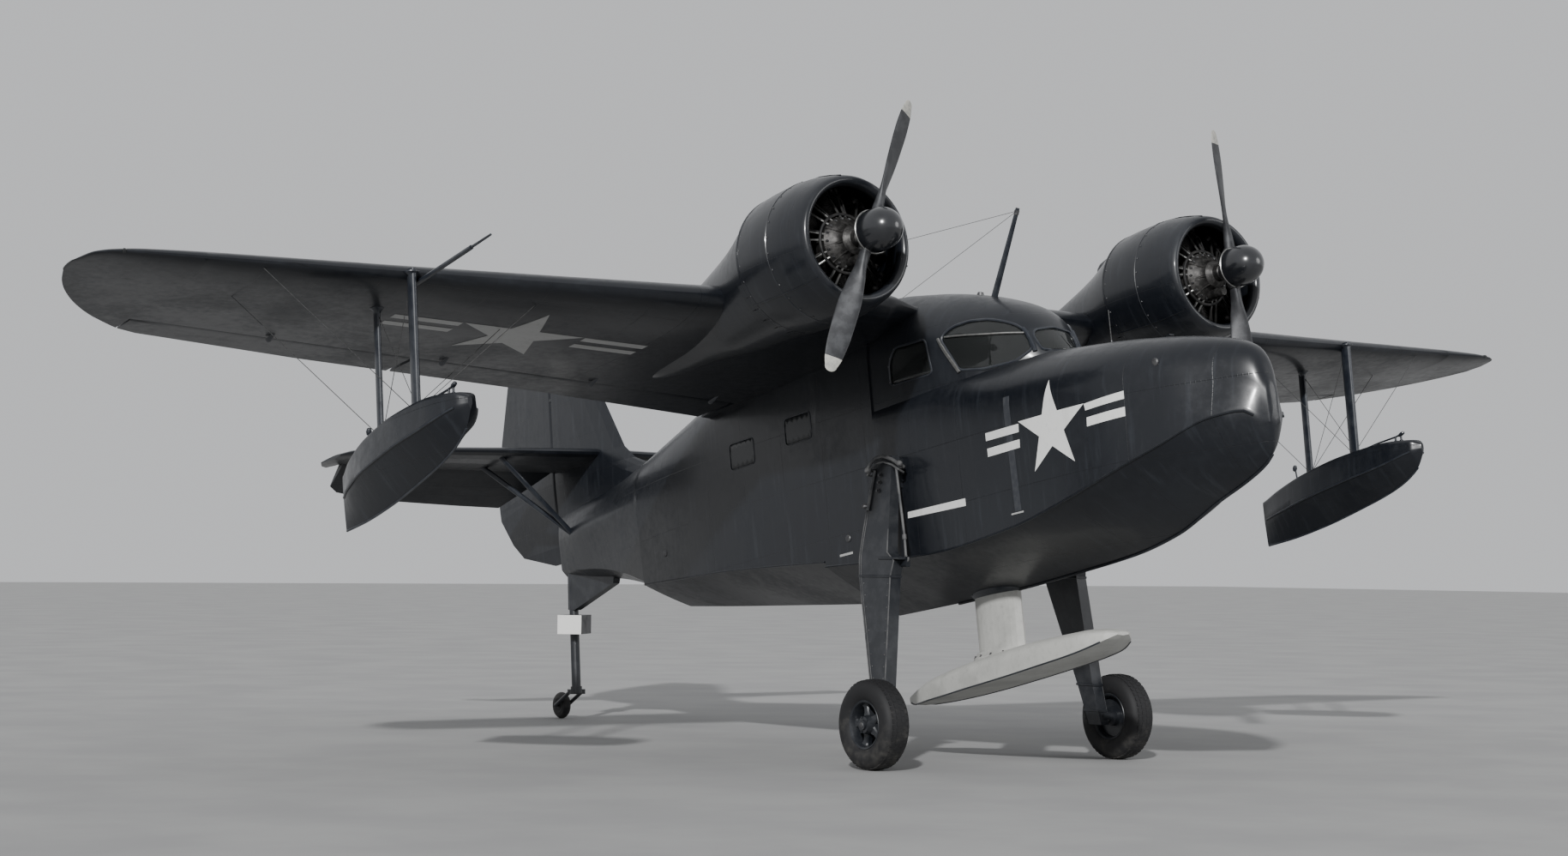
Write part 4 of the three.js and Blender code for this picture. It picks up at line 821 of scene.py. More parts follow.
def build_wing():
    centre = []
    for span in (0, 560):
        s = wing_section(span)
        nose = s.nose - Vector((0, 0, 40))
        centre.append(Section(nose, nose + s.chord * 0.62, 0.12).full())
    centre += [wing_section(span).full() for span in (720, 760, 818)]
    centre += [wing_section(span).coved() for span in steps(818.2, 2599, 150)]
    outer = [wing_section(span).coved() for span in steps(2601, AILERON_OUTER + 20, 160)]
    tip = steps(AILERON_OUTER + 20.2, 7000, 60) + steps(7025, 7560, 20)
    outer += [wing_section(span).full() for span in tip]
    outer += [shrunk(outer[-1], scale, (out, 0, 0)) for scale, out in ((0.85, 9), (0.5, 15))]
    both = [sided(ring, -1) for ring in reversed(centre[1:])] + centre
    piece("wing_centre_skin", [solid(both)], WING_PAINT, "wing_center")
    for label, label_side, side in SIDES:
        rings = [sided(ring, side) for ring in outer]
        piece(f"wing_skin_{label}", [solid(rings)], WING_PAINT, f"wing_outer_{label}")
        for kind, (start, end) in SURFACES.items():
            rings = [sided(wing_section(span).moving(), side) for span in steps(start, end, 180)]
            piece(f"{kind}_skin_{label}", [solid(rings)], WING_PAINT, f"{kind}_{label}",
                  body=f"{kind}_{label_side}")


def wing_low(x, s, gap=1.5):
    """Height just below the wing's lower skin."""
    section = wing_section(abs(x))
    share = min(max((s - section.nose.y) / section.chord.y, 0.001), 1.0)
    return section.at(share, -1).z - gap


ENGINE_X, ENGINE_Z = 1945, 2652
# Nacelle: station, centre height, half width, half height
NACELLE = [
    [3200, 2652, 558, 558], [3600, 2555, 465, 455], [4000, 2490, 390, 385], [4500, 2435, 310, 295],
    [5000, 2385, 230, 240], [5350, 2345, 160, 175], [5540, 2320, 80, 110],
]
# Turned outlines: radius and station
COWL = [
    [470, 2450], [450, 2432], [442, 2410], [440, 2385], [444, 2364], [454, 2346], [466, 2335], [480, 2330],
    [496, 2333], [508, 2344], [520, 2365], [538, 2420], [553, 2500], [566, 2560], [575, 2620], [581, 2690],
    [585, 2780], [585, 2890], [582, 3000], [575, 3110], [566, 3199], [556, 3199], [566, 3100], [568, 3000],
    [570, 2780], [558, 2620], [525, 2500],
]
COWL_BANDS = (
    [(583, 2758), (588, 2762), (588, 2788), (583, 2792)],
    [(560, 3184), (570, 3186), (570, 3203), (560, 3205)],
)
COWL_SEAM = ((521, 2360), (555, 2500), (577, 2620), (587, 2780), (584, 3000), (568, 3196))
COWL_FLAP = ((566, 3150), (572, 3150), (566, 3262), (560, 3262))
CRANKCASE = [
    [0, 2272], [62, 2272], [70, 2280], [75, 2330], [96, 2346], [120, 2370], [126, 2400], [150, 2430], [178, 2450],
    [215, 2490], [222, 2530], [225, 2580], [225, 2860], [180, 2900], [170, 3180], [0, 3180],
]
# Duct on top of the nacelle: station, half width, top and base height
SCOOP = [
    [2838, 60, 3246, 3200], [2850, 78, 3262, 3190], [2900, 84, 3256, 3180], [2915, 100, 3262, 3180],
    [3100, 108, 3228, 3160], [3240, 112, 3202, 3120], [3255, 120, 3206, 3110], [3560, 124, 3132, 2980],
    [3700, 122, 3092, 2940], [3735, 116, 3062, 2925], [3758, 104, 2985, 2915],
]


def axis_point(side):
    return Vector((side * ENGINE_X, 0, ENGINE_Z))


def around(side, angle, radius, at):
    """A point round the propeller's axis, by the angle from port."""
    return axis_point(side) + Vector((radius * math.cos(angle), at, radius * math.sin(angle)))


def radial(side, angle, radius, at):
    """A point round the propeller's axis, by the angle from the top."""
    return Vector((side * ENGINE_X + radius * math.sin(angle), at, ENGINE_Z + radius * math.cos(angle)))


def scoop_ring(side, s, wide, top, base):
    ring = []
    for a in turns(24):
        lift = math.copysign(abs(math.sin(a)) ** 0.6, math.sin(a))
        height = (top + base) / 2 + (top - base) / 2 * lift
        ring.append(Vector((side * ENGINE_X + wide * math.cos(a), s, height)))
    return ring


def build_nacelles():
    for label, _, side in SIDES:
        centre = axis_point(side)
        rings = []
        for at in steps(3200, 5540, 70):
            z, wide, high = columns(NACELLE, at)
            rings.append([
                Vector((side * ENGINE_X + wide * math.cos(a), at, z + high * math.sin(a))) for a in turns(56)
            ])
        rings.append(shrunk(rings[-1], 0.55, (0, 40, -4)))
        piece(f"nacelle_skin_{label}", [solid(rings)], COWL_PAINT, f"nacelle_{label}")
        piece(f"cowl_ring_{label}", [lathe(COWL, centre, AFT, 84, True)], COWL_PAINT, f"cowl_{label}")
        trim = [lathe(band, centre, AFT, 72, True) for band in COWL_BANDS]
        for k in range(3):
            a = math.radians(100 + 120 * k)
            trim.append(tube([around(side, a, r, s) for r, s in COWL_SEAM], 7, 6, flat=0.6))
        piece(f"cowl_bands_{label}", trim, COWL_PAINT)
        latches = []
        for a in turns(28, 0.5):
            out = Vector((math.cos(a), 0, math.sin(a)))
            for radius, at in ((586, 2742), (569, 3165)):
                latches.append(lathe([(0, 4), (6, 3), (9, 0)], centre + out * radius + AFT * at, out, 8))
        piece(f"cowl_fasteners_{label}", latches, BARE_METAL)
        flaps = []
        for k in range(12):
            angles = (math.radians(200 + 12 * k + 0.5 + 11 * j / 4) for j in range(5))
            flaps.append(solid([[around(side, a, r, s) for r, s in COWL_FLAP] for a in angles]))
        piece(f"cowl_flaps_{label}", flaps, COWL_PAINT)
        piece(f"air_scoop_{label}", [solid([scoop_ring(side, *row) for row in SCOOP])], COWL_PAINT)


# Cooling fins: radius and distance from the engine's axis
BARREL = [(60, 190), (64, 205)]
for fin in range(20):
    foot = 215 + fin * 11.5
    BARREL += [(66, foot), (83, foot + 1.5), (83, foot + 4), (66, foot + 5.5)]
BARREL.append((40, 450))
HEAD = [(60, 446)]
for fin in range(8):
    foot, wide = 450 + fin * 9, 97 - fin * fin * 0.45
    HEAD += [(80 - fin, foot), (wide, foot + 1.5), (wide, foot + 3.5), (80 - fin, foot + 5)]
HEAD += [(55, 526), (30, 532)]
ROCKER = [(20, -26), (30, -20), (33, 8), (26, 24), (8, 30)]
ROD_FOOT = [(0, -20), (17, -16), (17, 14), (11, 22)]
PLUG = [(0, -36), (12, -34), (12, -6), (17, -4), (17, 8), (8, 12)]
CASE_STUD = [(0, -16), (8, -15), (8, -6), (12, -5), (12, 8)]
CASE_RIB = ((118, 2372), (150, 2436), (214, 2492))
SUMP = [(0, -150), (34, -150), (40, -120), (44, 60), (30, 90)]
SHELF = [(226, 2846), (560, 2846), (562, 2852), (226, 2852)]


def build_engines():
    for label, _, side in SIDES:
        barrels, heads, rods, leads, studs = [], [], [], [], []

        def spot(angle, radius, at):
            return radial(side, angle, radius, at)

        for angle in turns(9):
            out = radial(0, angle, 1, 0) - Vector((0, 0, ENGINE_Z))
            base = spot(angle, 0, 2730)
            barrels.append(lathe(BARREL, base, out, 20))
            heads.append(lathe(HEAD, base, out, 20))
            for lean in (-0.14, 0.14):
                heads.append(lathe(ROCKER, spot(angle + lean, 488, 2672), out - AFT * 0.5, 12))
            for lean in (-0.09, 0.09):
                start = spot(angle + lean * 1.4, 158, 2466)
                rods.append(tube([start, spot(angle + lean * 1.15, 484, 2654)], 10))
                studs.append(lathe(ROD_FOOT, start, out - AFT * 0.3, 10))
            plug = spot(angle, 470, 2655)
            leads.append(tube([spot(angle + 0.17, 238, 2508), spot(angle + 0.12, 380, 2560), plug], 6, 6))
            studs.append(lathe(PLUG, plug, AFT, 8))
            for lean in (-0.23, 0.23):
                path = [spot(angle + lean * 0.9, 215, 2800), spot(angle + lean, 330, 2836),
                        spot(angle + lean * 0.55, 470, 2820)]
                leads.append(tube(path, 22, 10))
        piece(f"engine_barrels_{label}", barrels, ENGINE_METAL, f"engine_{label}", angle=45)
        piece(f"engine_heads_{label}", heads, ENGINE_METAL, angle=45)
        piece(f"push_rods_{label}", rods, BRIGHT_METAL, slot="engine_metal")
        centre = axis_point(side)
        leads.append(tube([spot(a, 240, 2506) for a in turns(48)], 13, closed=True))
        piece(f"ignition_leads_{label}", leads, ENGINE_DARK)
        studs += [lathe(CASE_STUD, spot(a, 196, 2474), AFT, 6) for a in turns(18, 0.5)]
        case = [lathe(CRANKCASE, centre, AFT)]
        case += [tube([spot(a, *p) for p in CASE_RIB], 9, 6) for a in turns(9, 0.5)]
        case.append(lathe(SUMP, spot(math.pi, 168, 2440), AFT, 20))
        piece(f"crankcase_{label}", case, ENGINE_METAL)
        piece(f"engine_studs_{label}", studs, BARE_METAL, slot="engine_metal")
        shelf = [lathe(SHELF, centre, AFT, loop=True)]
        shelf += [tube([spot(a, 250, 2790), spot(a, 535, 2790)], 34, 4, flat=0.12) for a in turns(9, 0.5)]
        piece(f"engine_baffles_{label}", shelf, ENGINE_DARK)


# Propeller blade: radius, chord, thickness, blade angle
BLADE = [
    [60, 84, 80, 62], [170, 88, 78, 58], [300, 100, 62, 50], [430, 142, 36, 42], [680, 186, 23, 32],
    [920, 180, 16, 25], [1100, 146, 12, 21], [1190, 98, 9, 19], [1235, 42, 7, 18],
]
BLADE_ROUND = 1190
PALE_TIP = 1128
SPINNER = [
    [0, 1840], [24, 1842], [50, 1848], [74, 1859], [95, 1872], [114, 1889], [130, 1908], [144, 1931], [155, 1955],
    [163, 1982], [168, 2010], [171, 2040], [172, 2070], [172, 2122],
]
SPINNER_RIM = [(150, 2122), (174, 2122), (179, 2127), (179, 2137), (150, 2139)]
BOSS = [(0, 2130), (95, 2132), (98, 2140), (98, 2222), (92, 2232), (70, 2234), (68, 2268), (0, 2268)]
BLADE_ROOT = [(52, 60), (60, 64), (60, 150), (54, 158), (54, 172), (46, 178)]
BLADE_TURN = {-1: 24.4, 1: -1.7}
HUB_STATION = 2165


def blade_ring(radius):
    chord, thick, turn = columns(BLADE, radius)
    if radius > BLADE_ROUND:
        chord = 98 * math.sqrt(max(0.03, 1 - ((radius - BLADE_ROUND) / 47) ** 2))
    turn = math.radians(turn)
    ring = []
    for a in turns(28):
        u = chord / 2 * math.cos(a)
        v = thick / 2 * math.sin(a) * (1.15 - 0.35 * math.cos(a))
        x, y = u * math.cos(turn) - v * math.sin(turn), u * math.sin(turn) + v * math.cos(turn)
        ring.append(Vector((x, y, radius)))
    return ring


def build_propellers():
    blade = [blade_ring(r) for r in steps(60, BLADE_ROUND, 26) + [1200, 1210, 1219, 1227, 1233, 1236]]
    for label, label_side, side in SIDES:
        centre = axis_point(side)
        hub = centre + AFT * HUB_STATION
        body = f"propeller_{label_side}"
        spin = Matrix.Rotation(math.radians(BLADE_TURN[side]), 3, "Y")
        points, faces = [], []
        for half in (0, math.pi):
            flip = Matrix.Rotation(half, 3, "Y")
            some, shapes = solid([[hub + spin @ (flip @ p) for p in ring] for ring in blade])
            faces += [tuple(len(points) + k for k in face) for face in shapes]
            points += some
        pale = [int(max((points[k] - hub).length for k in face) > PALE_TIP) for face in faces]
        obj = make(f"blades_{label}", points, faces, [BLADE_PAINT, BLADE_TIP], angle=40)
        obj.data.polygons.foreach_set("material_index", pale)
        settle(obj, body, "blade_grey", f"propeller_{label}")
        piece(f"spinner_{label}", [lathe(SPINNER, centre, AFT, 56)], SPINNER_PAINT, body=body)
        piece(f"spinner_rim_{label}", [lathe(SPINNER_RIM, centre, AFT, 56, True)], BRIGHT_METAL, body=body)
        boss = [lathe(BOSS, centre, AFT, 40)]
        for half in (0, 180):
            out = Matrix.Rotation(math.radians(BLADE_TURN[side] + half), 3, "Y") @ Vector(UP)
            boss.append(lathe(BLADE_ROOT, hub, out, 28))
        boss += [lathe([(0, -12), (9, -11), (9, 4)], radial(side, a, 82, 2236), AFT, 6) for a in turns(8)]
        piece(f"propeller_boss_{label}", boss, BARE_METAL, body=body)


FLOAT_X = 5080
# Wing float: station, keel height, chine half width, chine height, deck half width, deck height
FLOAT = [
    [3030, 1300, 18, 1345, 18, 1395], [3110, 1175, 95, 1320, 90, 1440], [3400, 1025, 190, 1240, 178, 1465],
    [3900, 905, 228, 1165, 205, 1435], [4400, 815, 205, 1095, 180, 1365], [4850, 765, 125, 1030, 105, 1275],
    [5170, 750, 12, 1000, 12, 1190],
]
# Struts: station at the foot and at the head, half chord
STRUTS = ((3875, 3820, 58), (4490, 4435, 44))
STRUT_SHOE = [(0, -16), (58, -14), (58, -4), (48, 2), (32, 16), (26, 36)]
# Pipe on the deck: station and height over the deck
PIPE = ((3800, 26), (3765, 22), (3560, 34), (3340, 48), (3262, 70))
PIPE_END = [(0, -46), (12, -40), (19, -12), (17, 22), (0, 40)]
PIPE_STAND = [(18, -20), (18, 10), (10, 16), (10, 52)]
VENT_STEM = [(16, -14), (9, 4), (8, 118)]
VENT_CAP = [(0, -34), (17, -26), (24, 0), (17, 26), (0, 34)]
DECK_COVER = [(0, 12), (40, 10), (48, 2), (48, -14)]
FRONT_WIRE, REAR_WIRE, WIRE_REACH = 3850, 4460, 1150


def float_deck(at):
    return between(FLOAT, 5, at)


def float_ring(x, at):
    keel, chine_x, chine_z, deck_x, deck_z = columns(FLOAT, at)
    half = [Vector((chine_x * k / 5, at, keel + (chine_z - keel) * (k / 5) ** 1.08)) for k in range(6)]
    edge = Vector((deck_x, at, deck_z - 40))
    half += [half[5].lerp(edge, k / 3) for k in (1, 2)]
    for k in range(9):
        a = k / 8 * math.pi / 2
        out = deck_x * math.cos(a) ** 0.6 if k < 8 else 0
        half.append(Vector((out, at, deck_z - 40 + 40 * math.sin(a) ** 0.7)))
    return [p + Vector((x, 0, 0)) for p in mirrored(half)]


def strut_ring(p, radius):
    return [p + Vector((radius * 0.45 * math.sin(a), radius * math.cos(a) * (1 + 0.25 * math.cos(a)), 0))
            for a in turns(28)]


def build_floats():
    for label, _, side in SIDES:
        x = side * FLOAT_X

        def over(at, up=0):
            return Vector((x, at, float_deck(at) + up))

        rings = [float_ring(x, at) for at in steps(3030, 3110, 9) + steps(3125, 5170, 45)]
        piece(f"float_hull_{label}", [solid(rings)], FLOAT_PAINT, f"float_{label}", angle=35)
        struts, shoes = [], []
        for foot, head, radius in STRUTS:
            low = Vector((x, foot + (head - foot) * 0.1, float_deck(foot) - 30))
            high = Vector((x, head, wing_low(FLOAT_X, head, -30)))
            struts.append(solid([strut_ring(low, radius), strut_ring(high, radius)]))
            for p, sign, lift in ((low, 1, 30), (high, -1, -34)):
                shoes.append(lathe(STRUT_SHOE, p + Vector((0, 0, lift)), (0, 0, sign), 20))
        piece(f"float_struts_{label}", struts, STRUT_PAINT)
        piece(f"float_fittings_{label}", shoes, STRUT_PAINT)
        rails = []
        for edge in (-1, 1):
            path = [(x + edge * (between(FLOAT, 2, at) + 3), at, between(FLOAT, 3, at))
                    for at in steps(3110, 5120, 60)]
            rails.append(tube(path, 9, 6))
        rails.append(tube([(x, at, between(FLOAT, 1, at) - 3) for at in steps(3110, 5160, 60)], 9, 6))
        piece(f"float_rails_{label}", rails, STRUT_PAINT)
        pipe = [over(at, up) for at, up in PIPE]
        deck = [tube(pipe, 9), lathe(PIPE_END, pipe[-1], (0, -1, 0.35), 14)]
        deck += [lathe(PIPE_STAND, over(at), UP, 12) for at in (3345, 3275)]
        deck.append(lathe(VENT_STEM, over(4670), (0, 0.1, 1), 10))
        deck.append(lathe(VENT_CAP, (x, 4688, float_deck(4670) + 138), (0, -0.3, 1), 14))
        deck += [lathe(DECK_COVER, over(at), UP, 20) for at in (4080, 3620)]
        piece(f"float_handles_{label}", deck, STRUT_PAINT)
        pairs = [
            (over(FRONT_WIRE, 20), (x, REAR_WIRE - 20, wing_low(FLOAT_X, REAR_WIRE) - 20)),
            (over(REAR_WIRE, 20), (x, FRONT_WIRE - 20, wing_low(FLOAT_X, FRONT_WIRE) - 20)),
        ]
        for far in (FLOAT_X - WIRE_REACH, FLOAT_X + WIRE_REACH):
            for at, ahead, up, head in ((FRONT_WIRE, 40, 10, 3960), (REAR_WIRE, 20, 10, 4560)):
                foot = (x, at + ahead, float_deck(at) + up)
                pairs.append((foot, (side * far, head, wing_low(far, head) + 4)))
        piece(f"float_wires_{label}", [tube(pair, 3.0, 6) for pair in pairs], WIRE_METAL)


# Hydro-ski: station, top height, bottom height, half width
SKI = [
    [1890, -515, -545, 60], [1970, -485, -585, 150], [2200, -458, -645, 225], [2700, -462, -700, 250],
    [3500, -515, -765, 250], [4150, -595, -805, 200], [4480, -665, -815, 110], [4640, -715, -780, 50],
]
# Ski strut: half thickness, half chord and middle station
SKI_STRUT = (87, 290, 3380)
# Foot and collar of the strut: height and how far each stands out
SKI_FOOT = ((-470, 22), (-500, 40), (-512, 60), (-540, 62))
SKI_COLLAR = ((-10, 6), (14, 30), (40, 34))
SKI_BOLT = [(0, 14), (9, 13), (9, 2), (15, 0), (15, -6)]


def ski_ring(at):
    top, bottom, wide = columns(SKI, at)
    middle = (top + bottom) / 2
    half = [Vector((wide * k / 4, at, bottom + 8 * k / 4)) for k in range(5)]
    half += [Vector((wide, at, bottom + 8 + (middle - bottom - 8) * k / 2)) for k in (1, 2)]
    for k in range(1, 9):
        a = k / 8 * math.pi / 2
        out = wide * math.cos(a) ** 0.8 if k < 8 else 0
        half.append(Vector((out, at, middle + (top - middle) * math.sin(a) ** 0.8)))
    return mirrored(half)


def oval(z, grow):
    wide, long, middle = SKI_STRUT
    return [Vector(((wide + grow) * math.cos(a), middle + (long + grow) * math.sin(a), z)) for a in turns(40)]


def build_ski():
    rings = [ski_ring(at) for at in steps(1890, 1970, 10) + steps(1990, 4640, 50)]
    piece("ski_body", [solid(rings)], PALE_PAINT, "hydro_ski", angle=35)
    trim = []
    for edge in (-1, 1):
        path = []
        for at in steps(1990, 4600, 60):
            _, bottom, wide = columns(SKI, at)
            path.append((edge * (wide + 2), at, bottom + 8))
        trim.append(tube(path, 7, 6))
    piece("ski_edges", trim, STRUT_PAINT)
    piece("ski_strut_foot", [solid([oval(*row) for row in SKI_FOOT])], PALE_PAINT)
    piece("ski_strut_collar", [solid([oval(*row) for row in SKI_COLLAR])], STRUT_PAINT)
    places = ((135 * math.cos(a), SKI_STRUT[2] + 336 * math.sin(a), -506) for a in turns(14))
    piece("ski_bolts", [lathe(SKI_BOLT, p, UP, 6) for p in places], BARE_METAL)


# Tyre and wheel: radius and distance outward
TYRE = [
    [190, -88], [200, -97], [215, -108], [232, -117], [260, -123], [290, -124], [315, -116], [336, -103],
    [350, -83], [358, -62], [362, -42], [364, -20],
]
TYRE += [[radius, -out] for radius, out in reversed(TYRE)]
RIM = [
    (186, -90), (192, -92), (200, -98), (196, -102), (182, -94), (172, -70), (166, -20), (166, 30), (172, 72),
    (182, 94), (196, 102), (200, 98), (192, 92), (186, 90),
]
HUB = [(42.6, -88), (78, -86), (82, -20), (82, 40), (74, 78), (66, 104), (42.6, 106)]
WEB = [(60, -40), (168, -44), (168, -36), (60, -32)]
AXLE_NUT = [(0, 128), (20, 128), (26, 122), (36, 118), (41, 108), (41, 88)]
# Rows of tread: distance outward and radius; spokes: radius, half width, inner and outer face
TREAD = ((-62, 357), (-24, 363), (24, 363), (62, 357))
SPOKE = ((72, 40, -2, 62), (110, 27, 4, 54), (150, 30, 2, 50), (172, 44, -8, 60))
WHEEL_AT = (1315, 2884, 370 * math.cos(math.pi / 24))


def tread_blocks(centre, side):
    blocks = []
    span, half = 0.048, 15
    for row, (out, radius) in enumerate(TREAD):
        for a in turns(46, 0.5 * (row % 2)):
            blocks.append(solid([[
                centre + Vector((side * (out + dx), r * math.sin(a + da), r * math.cos(a + da)))
                for da, dx in ((-span, -half), (span, -half), (span, half), (-span, half))
            ] for r in (radius - 8, radius + 3.0)]))
    return blocks


def spoke(centre, side, a):
    out = Vector((0, math.sin(a), math.cos(a)))
    across = Vector((0, math.cos(a), -math.sin(a)))
    rings = []
    for r, wide, x0, x1 in SPOKE:
        rings.append([
            centre + out * r + across * wide * u + Vector((side * v, 0, 0))
            for u, v in ((-1, x0), (1, x0), (1, x1 - 12), (0.7, x1), (-0.7, x1), (-1, x1 - 12))
        ])
    bolt = lathe([(0, 12), (9, 11), (9, 2)], centre + out * 62 + Vector((side * 100, 0, 0)), (side, 0, 0), 6)
    return [solid(rings), bolt]


def build_wheels():
    for label, label_side, side in SIDES:
        x, y, z = WHEEL_AT
        centre = Vector((side * x, y, z))
        axis = (side, 0, 0)
        body = f"main_wheel_{label_side}"
        tyre = [lathe(TYRE, centre, axis, 72, True)]
        piece(f"tyre_carcass_{label}", tyre, RUBBER, f"tyre_{label}", body=body, place=GROUND)
        piece(f"tyre_tread_{label}", tread_blocks(centre, side), RUBBER, body=body, place=GROUND)
        rim = [lathe(RIM, centre, axis, 56, True), lathe(HUB, centre, axis, 40, True)]
        for k in range(5):
            rim += spoke(centre, side, 2 * math.pi * k / 5 + 0.3)
        rim.append(lathe(WEB, centre, axis, loop=True))
        piece(f"wheel_hub_{label}", rim, GEAR_PAINT, f"wheel_{label}", body=body, place=GROUND)
        piece(f"axle_nut_{label}", [lathe(AXLE_NUT, centre, axis, 24)], BARE_METAL, place=GROUND)


# Beaching leg: height, middle half width of the stance, half thickness, front, rear
LEG = [
    [300, 1138, 45, 2840, 3000], [620, 1120, 55, 2920, 3110], [1560, 1005, 52, 3010, 3440],
    [1690, 985, 52, 2990, 3470], [1760, 970, 52, 3100, 3480], [2560, 850, 42, 3225, 3455],
]
LEG_EDGES = (330, 620, 1000, 1560, 1690, 1760)
# Clamp over the head of the leg, by half width, station and height
CLAMP = (
    (960, 3470, 2448), (958, 3425, 2502), (946, 3370, 2542), (930, 3294, 2557), (918, 3189, 2530),
    (905, 3110, 2490), (850, 3120, 2470), (802, 3180, 2465), (795, 3300, 2470), (802, 3420, 2450),
    (870, 3480, 2436),
)
LEG_NUT = [(0, 26), (12, 25), (12, 10), (20, 9), (20, 0)]
RIVET = [(0, 5), (5, 4), (7, 0)]
CLAMP_EYE = [(0, -34), (24, -22), (30, 0), (24, 22), (0, 34)]
CLAMP_NUT = [(0, -30), (20, -20), (26, 0), (20, 20), (0, 30)]
LEG_PIN = [(0, -30), (22, -26), (22, 22), (10, 34)]
# Rods of the leg: radius and points by half width, station and height
RODS = (
    (14, ((928, 3408, 2440), (953, 3429, 2250), (978, 3434, 2107))),
    (11, ((903, 3150, 2462), (940, 2982, 1900), (952, 2944, 1730))),
    (18, ((940, 2984, 1905), (942, 2976, 1865))),
)


def leg_parts(side):
    """Plates, edges, bolts and rods of one leg."""
    def at(x, y, z):
        return Vector((side * x, y, z))

    def plate(x0, x1, *size):
        return block(*sorted((side * x0, side * x1)), *size)

    def edge(top, front, out, radius):
        path = []
        for z in LEG_EDGES + (top,):
            _, x, half, ahead, behind = row_at(LEG, z)
            path.append(at(x + half + 2 - abs(out) * 0.02, (ahead if front else behind) + out, z))
        return tube(path, radius, 6)

    edges = [edge(1950, True, 5, 6), edge(2110, False, -3, 5), edge(2110, False, -26, 4)]
    plates, bolts = [], []
    for z in (1560, 640, 420):
        _, x, half, front, rear = row_at(LEG, z)
        plates.append(plate(x - half - 8, x + half + 8, front - 8, rear + 8, z - 10, z + 10, 4))
    plates += [plate(925, 1046, 2925, 3200, 1700, 1720, 4), plate(928, 972, 2915, 3010, 1640, 1700, 8)]
    for z in (2400, 2340, 2270):
        bolts.append(lathe(LEG_NUT, at(row_at(LEG, z)[1] + 44, 3340, z), (side, 0, 0), 6))
    for k in range(12):
        z = 1500 - 1060 * k / 11
        _, x, half, front, rear = row_at(LEG, z)
        bolts += [lathe(RIVET, at(x + half, y, z), (side, 0, 0), 8) for y in (front + 34, rear - 52)]
    bolts.append(lathe(LEG_PIN, at(968, 3474, 2140), (side, 0.6, 0), 10))
    band = [at(*p) for p in CLAMP]
    bend = (math.pi * k / 6 for k in range(-4, 7))
    hook = [at(955, 2930 + 24 * math.sin(a), 1706 - 24 * math.cos(a)) for a in bend]
    rods = [
        tube(band, 15, 10, closed=True), tube([p + Vector((0, 0, -46)) for p in band], 9, closed=True),
        lathe(CLAMP_EYE, at(956, 3462, 2440), (side, 0, 0.4), 14),
        lathe(CLAMP_NUT, at(905, 3105, 2494), -AFT, 14),
    ]
    rods += [tube([at(*p) for p in path], radius, 10) for radius, path in RODS]
    return plates, edges, bolts, rods + [tube(hook, 8)]


def build_gear():
    for label, _, side in SIDES:
        plates, edges, bolts, rods = leg_parts(side)
        piece(f"leg_plates_{label}", plates, GEAR_PAINT, place=GROUND)
        piece(f"leg_edges_{label}", edges, EDGE_PAINT, place=GROUND)
        piece(f"leg_bolts_{label}", bolts, BARE_METAL, place=GROUND)
        piece(f"leg_rods_{label}", rods, EDGE_PAINT, slot="bare_steel", place=GROUND)


# Markings on the hull, by station and height: the star's middle and size, then outlines
HULL_STAR = (1656, 1055, 382)
HULL_BARS = [
    [(930, 1140), (1282, 1116), (1292, 1170), (930, 1202)],
    [(930, 1006), (1280, 990), (1276, 1060), (930, 1078)],
    [(2022, 1090), (2430, 1094), (2430, 1158), (2017, 1156)],
    [(2025, 966), (2424, 964), (2424, 1031), (2021, 1032)],
]
HULL_STRIPE = [(2758, 626), (3528, 652), (3524, 704), (2758, 688)]
HULL_TICKS = [rectangle(4330, 4520, 480, 500), rectangle(2054, 2204, 455, 468)]
PROPELLER_LINE = [(2079, 476), (2157, 476), (2183, 1400), (2108, 1400)]
# Markings under the starboard wing, by X and station
WING_STAR = (-3730, 4680, 575, 180)
WING_BARS = [
    rectangle(*x, *s) for x in ((-4890, -4290), (-3170, -2570)) for s in ((4505, 4600), (4690, 4785))
]


def star(cx, cy, radius, turn=0.0):
    inner = radius * math.sin(math.radians(18)) / math.sin(math.radians(54))
    out = []
    for k in range(10):
        a = math.radians(turn + 36 * k)
        r = radius if k % 2 == 0 else inner
        out.append((cx + r * math.sin(a), cy + r * math.cos(a)))
    return out


def build_markings():
    for label, _, side in SIDES:
        lay = on_hull(side)
        decal(f"hull_star_{label}", [star(*HULL_STAR)], lay, WHITE)
        decal(f"hull_bars_{label}", HULL_BARS, lay, WHITE)
        decal(f"hull_stripe_{label}", [HULL_STRIPE], lay, WHITE)
        decal(f"hull_tick_{label}", HULL_TICKS, lay, SHADED_WHITE)
        decal(f"propeller_line_{label}", [PROPELLER_LINE], on_hull(side, 1.2), LINE_PAINT)

    def under(x, s):
        return Vector((x, s, wing_low(x, s, 2.0)))

    # The wing's star and bars take the white darkened as painted shadow of the wing
    decal("wing_star", [star(*WING_STAR)], under, SHADED_WHITE)
    decal("wing_bars", WING_BARS, under, SHADED_WHITE)


MAST_HEAD = Vector((0, 2655, 3128))
# Antenna fittings: profile, foot and axis
ANTENNA_POSTS = (
    ([(0, 0), (14, 2), (16, 20), (7, 30), (7, 46)], (0, 1670, 1752), UP, 12),
    ([(22, -30), (22, 6), (9, 14), (9, 26)], MAST_HEAD, (0, -0.5, 1), 12),
    ([(0, -6), (17, -4), (19, 18), (8, 26)], (0, 4420, 2724), UP, 12),
    ([(0, 30), (24, 26), (30, 6), (34, -20)], (0, 3230, 2540), (0, -0.3, 1), 16),
)
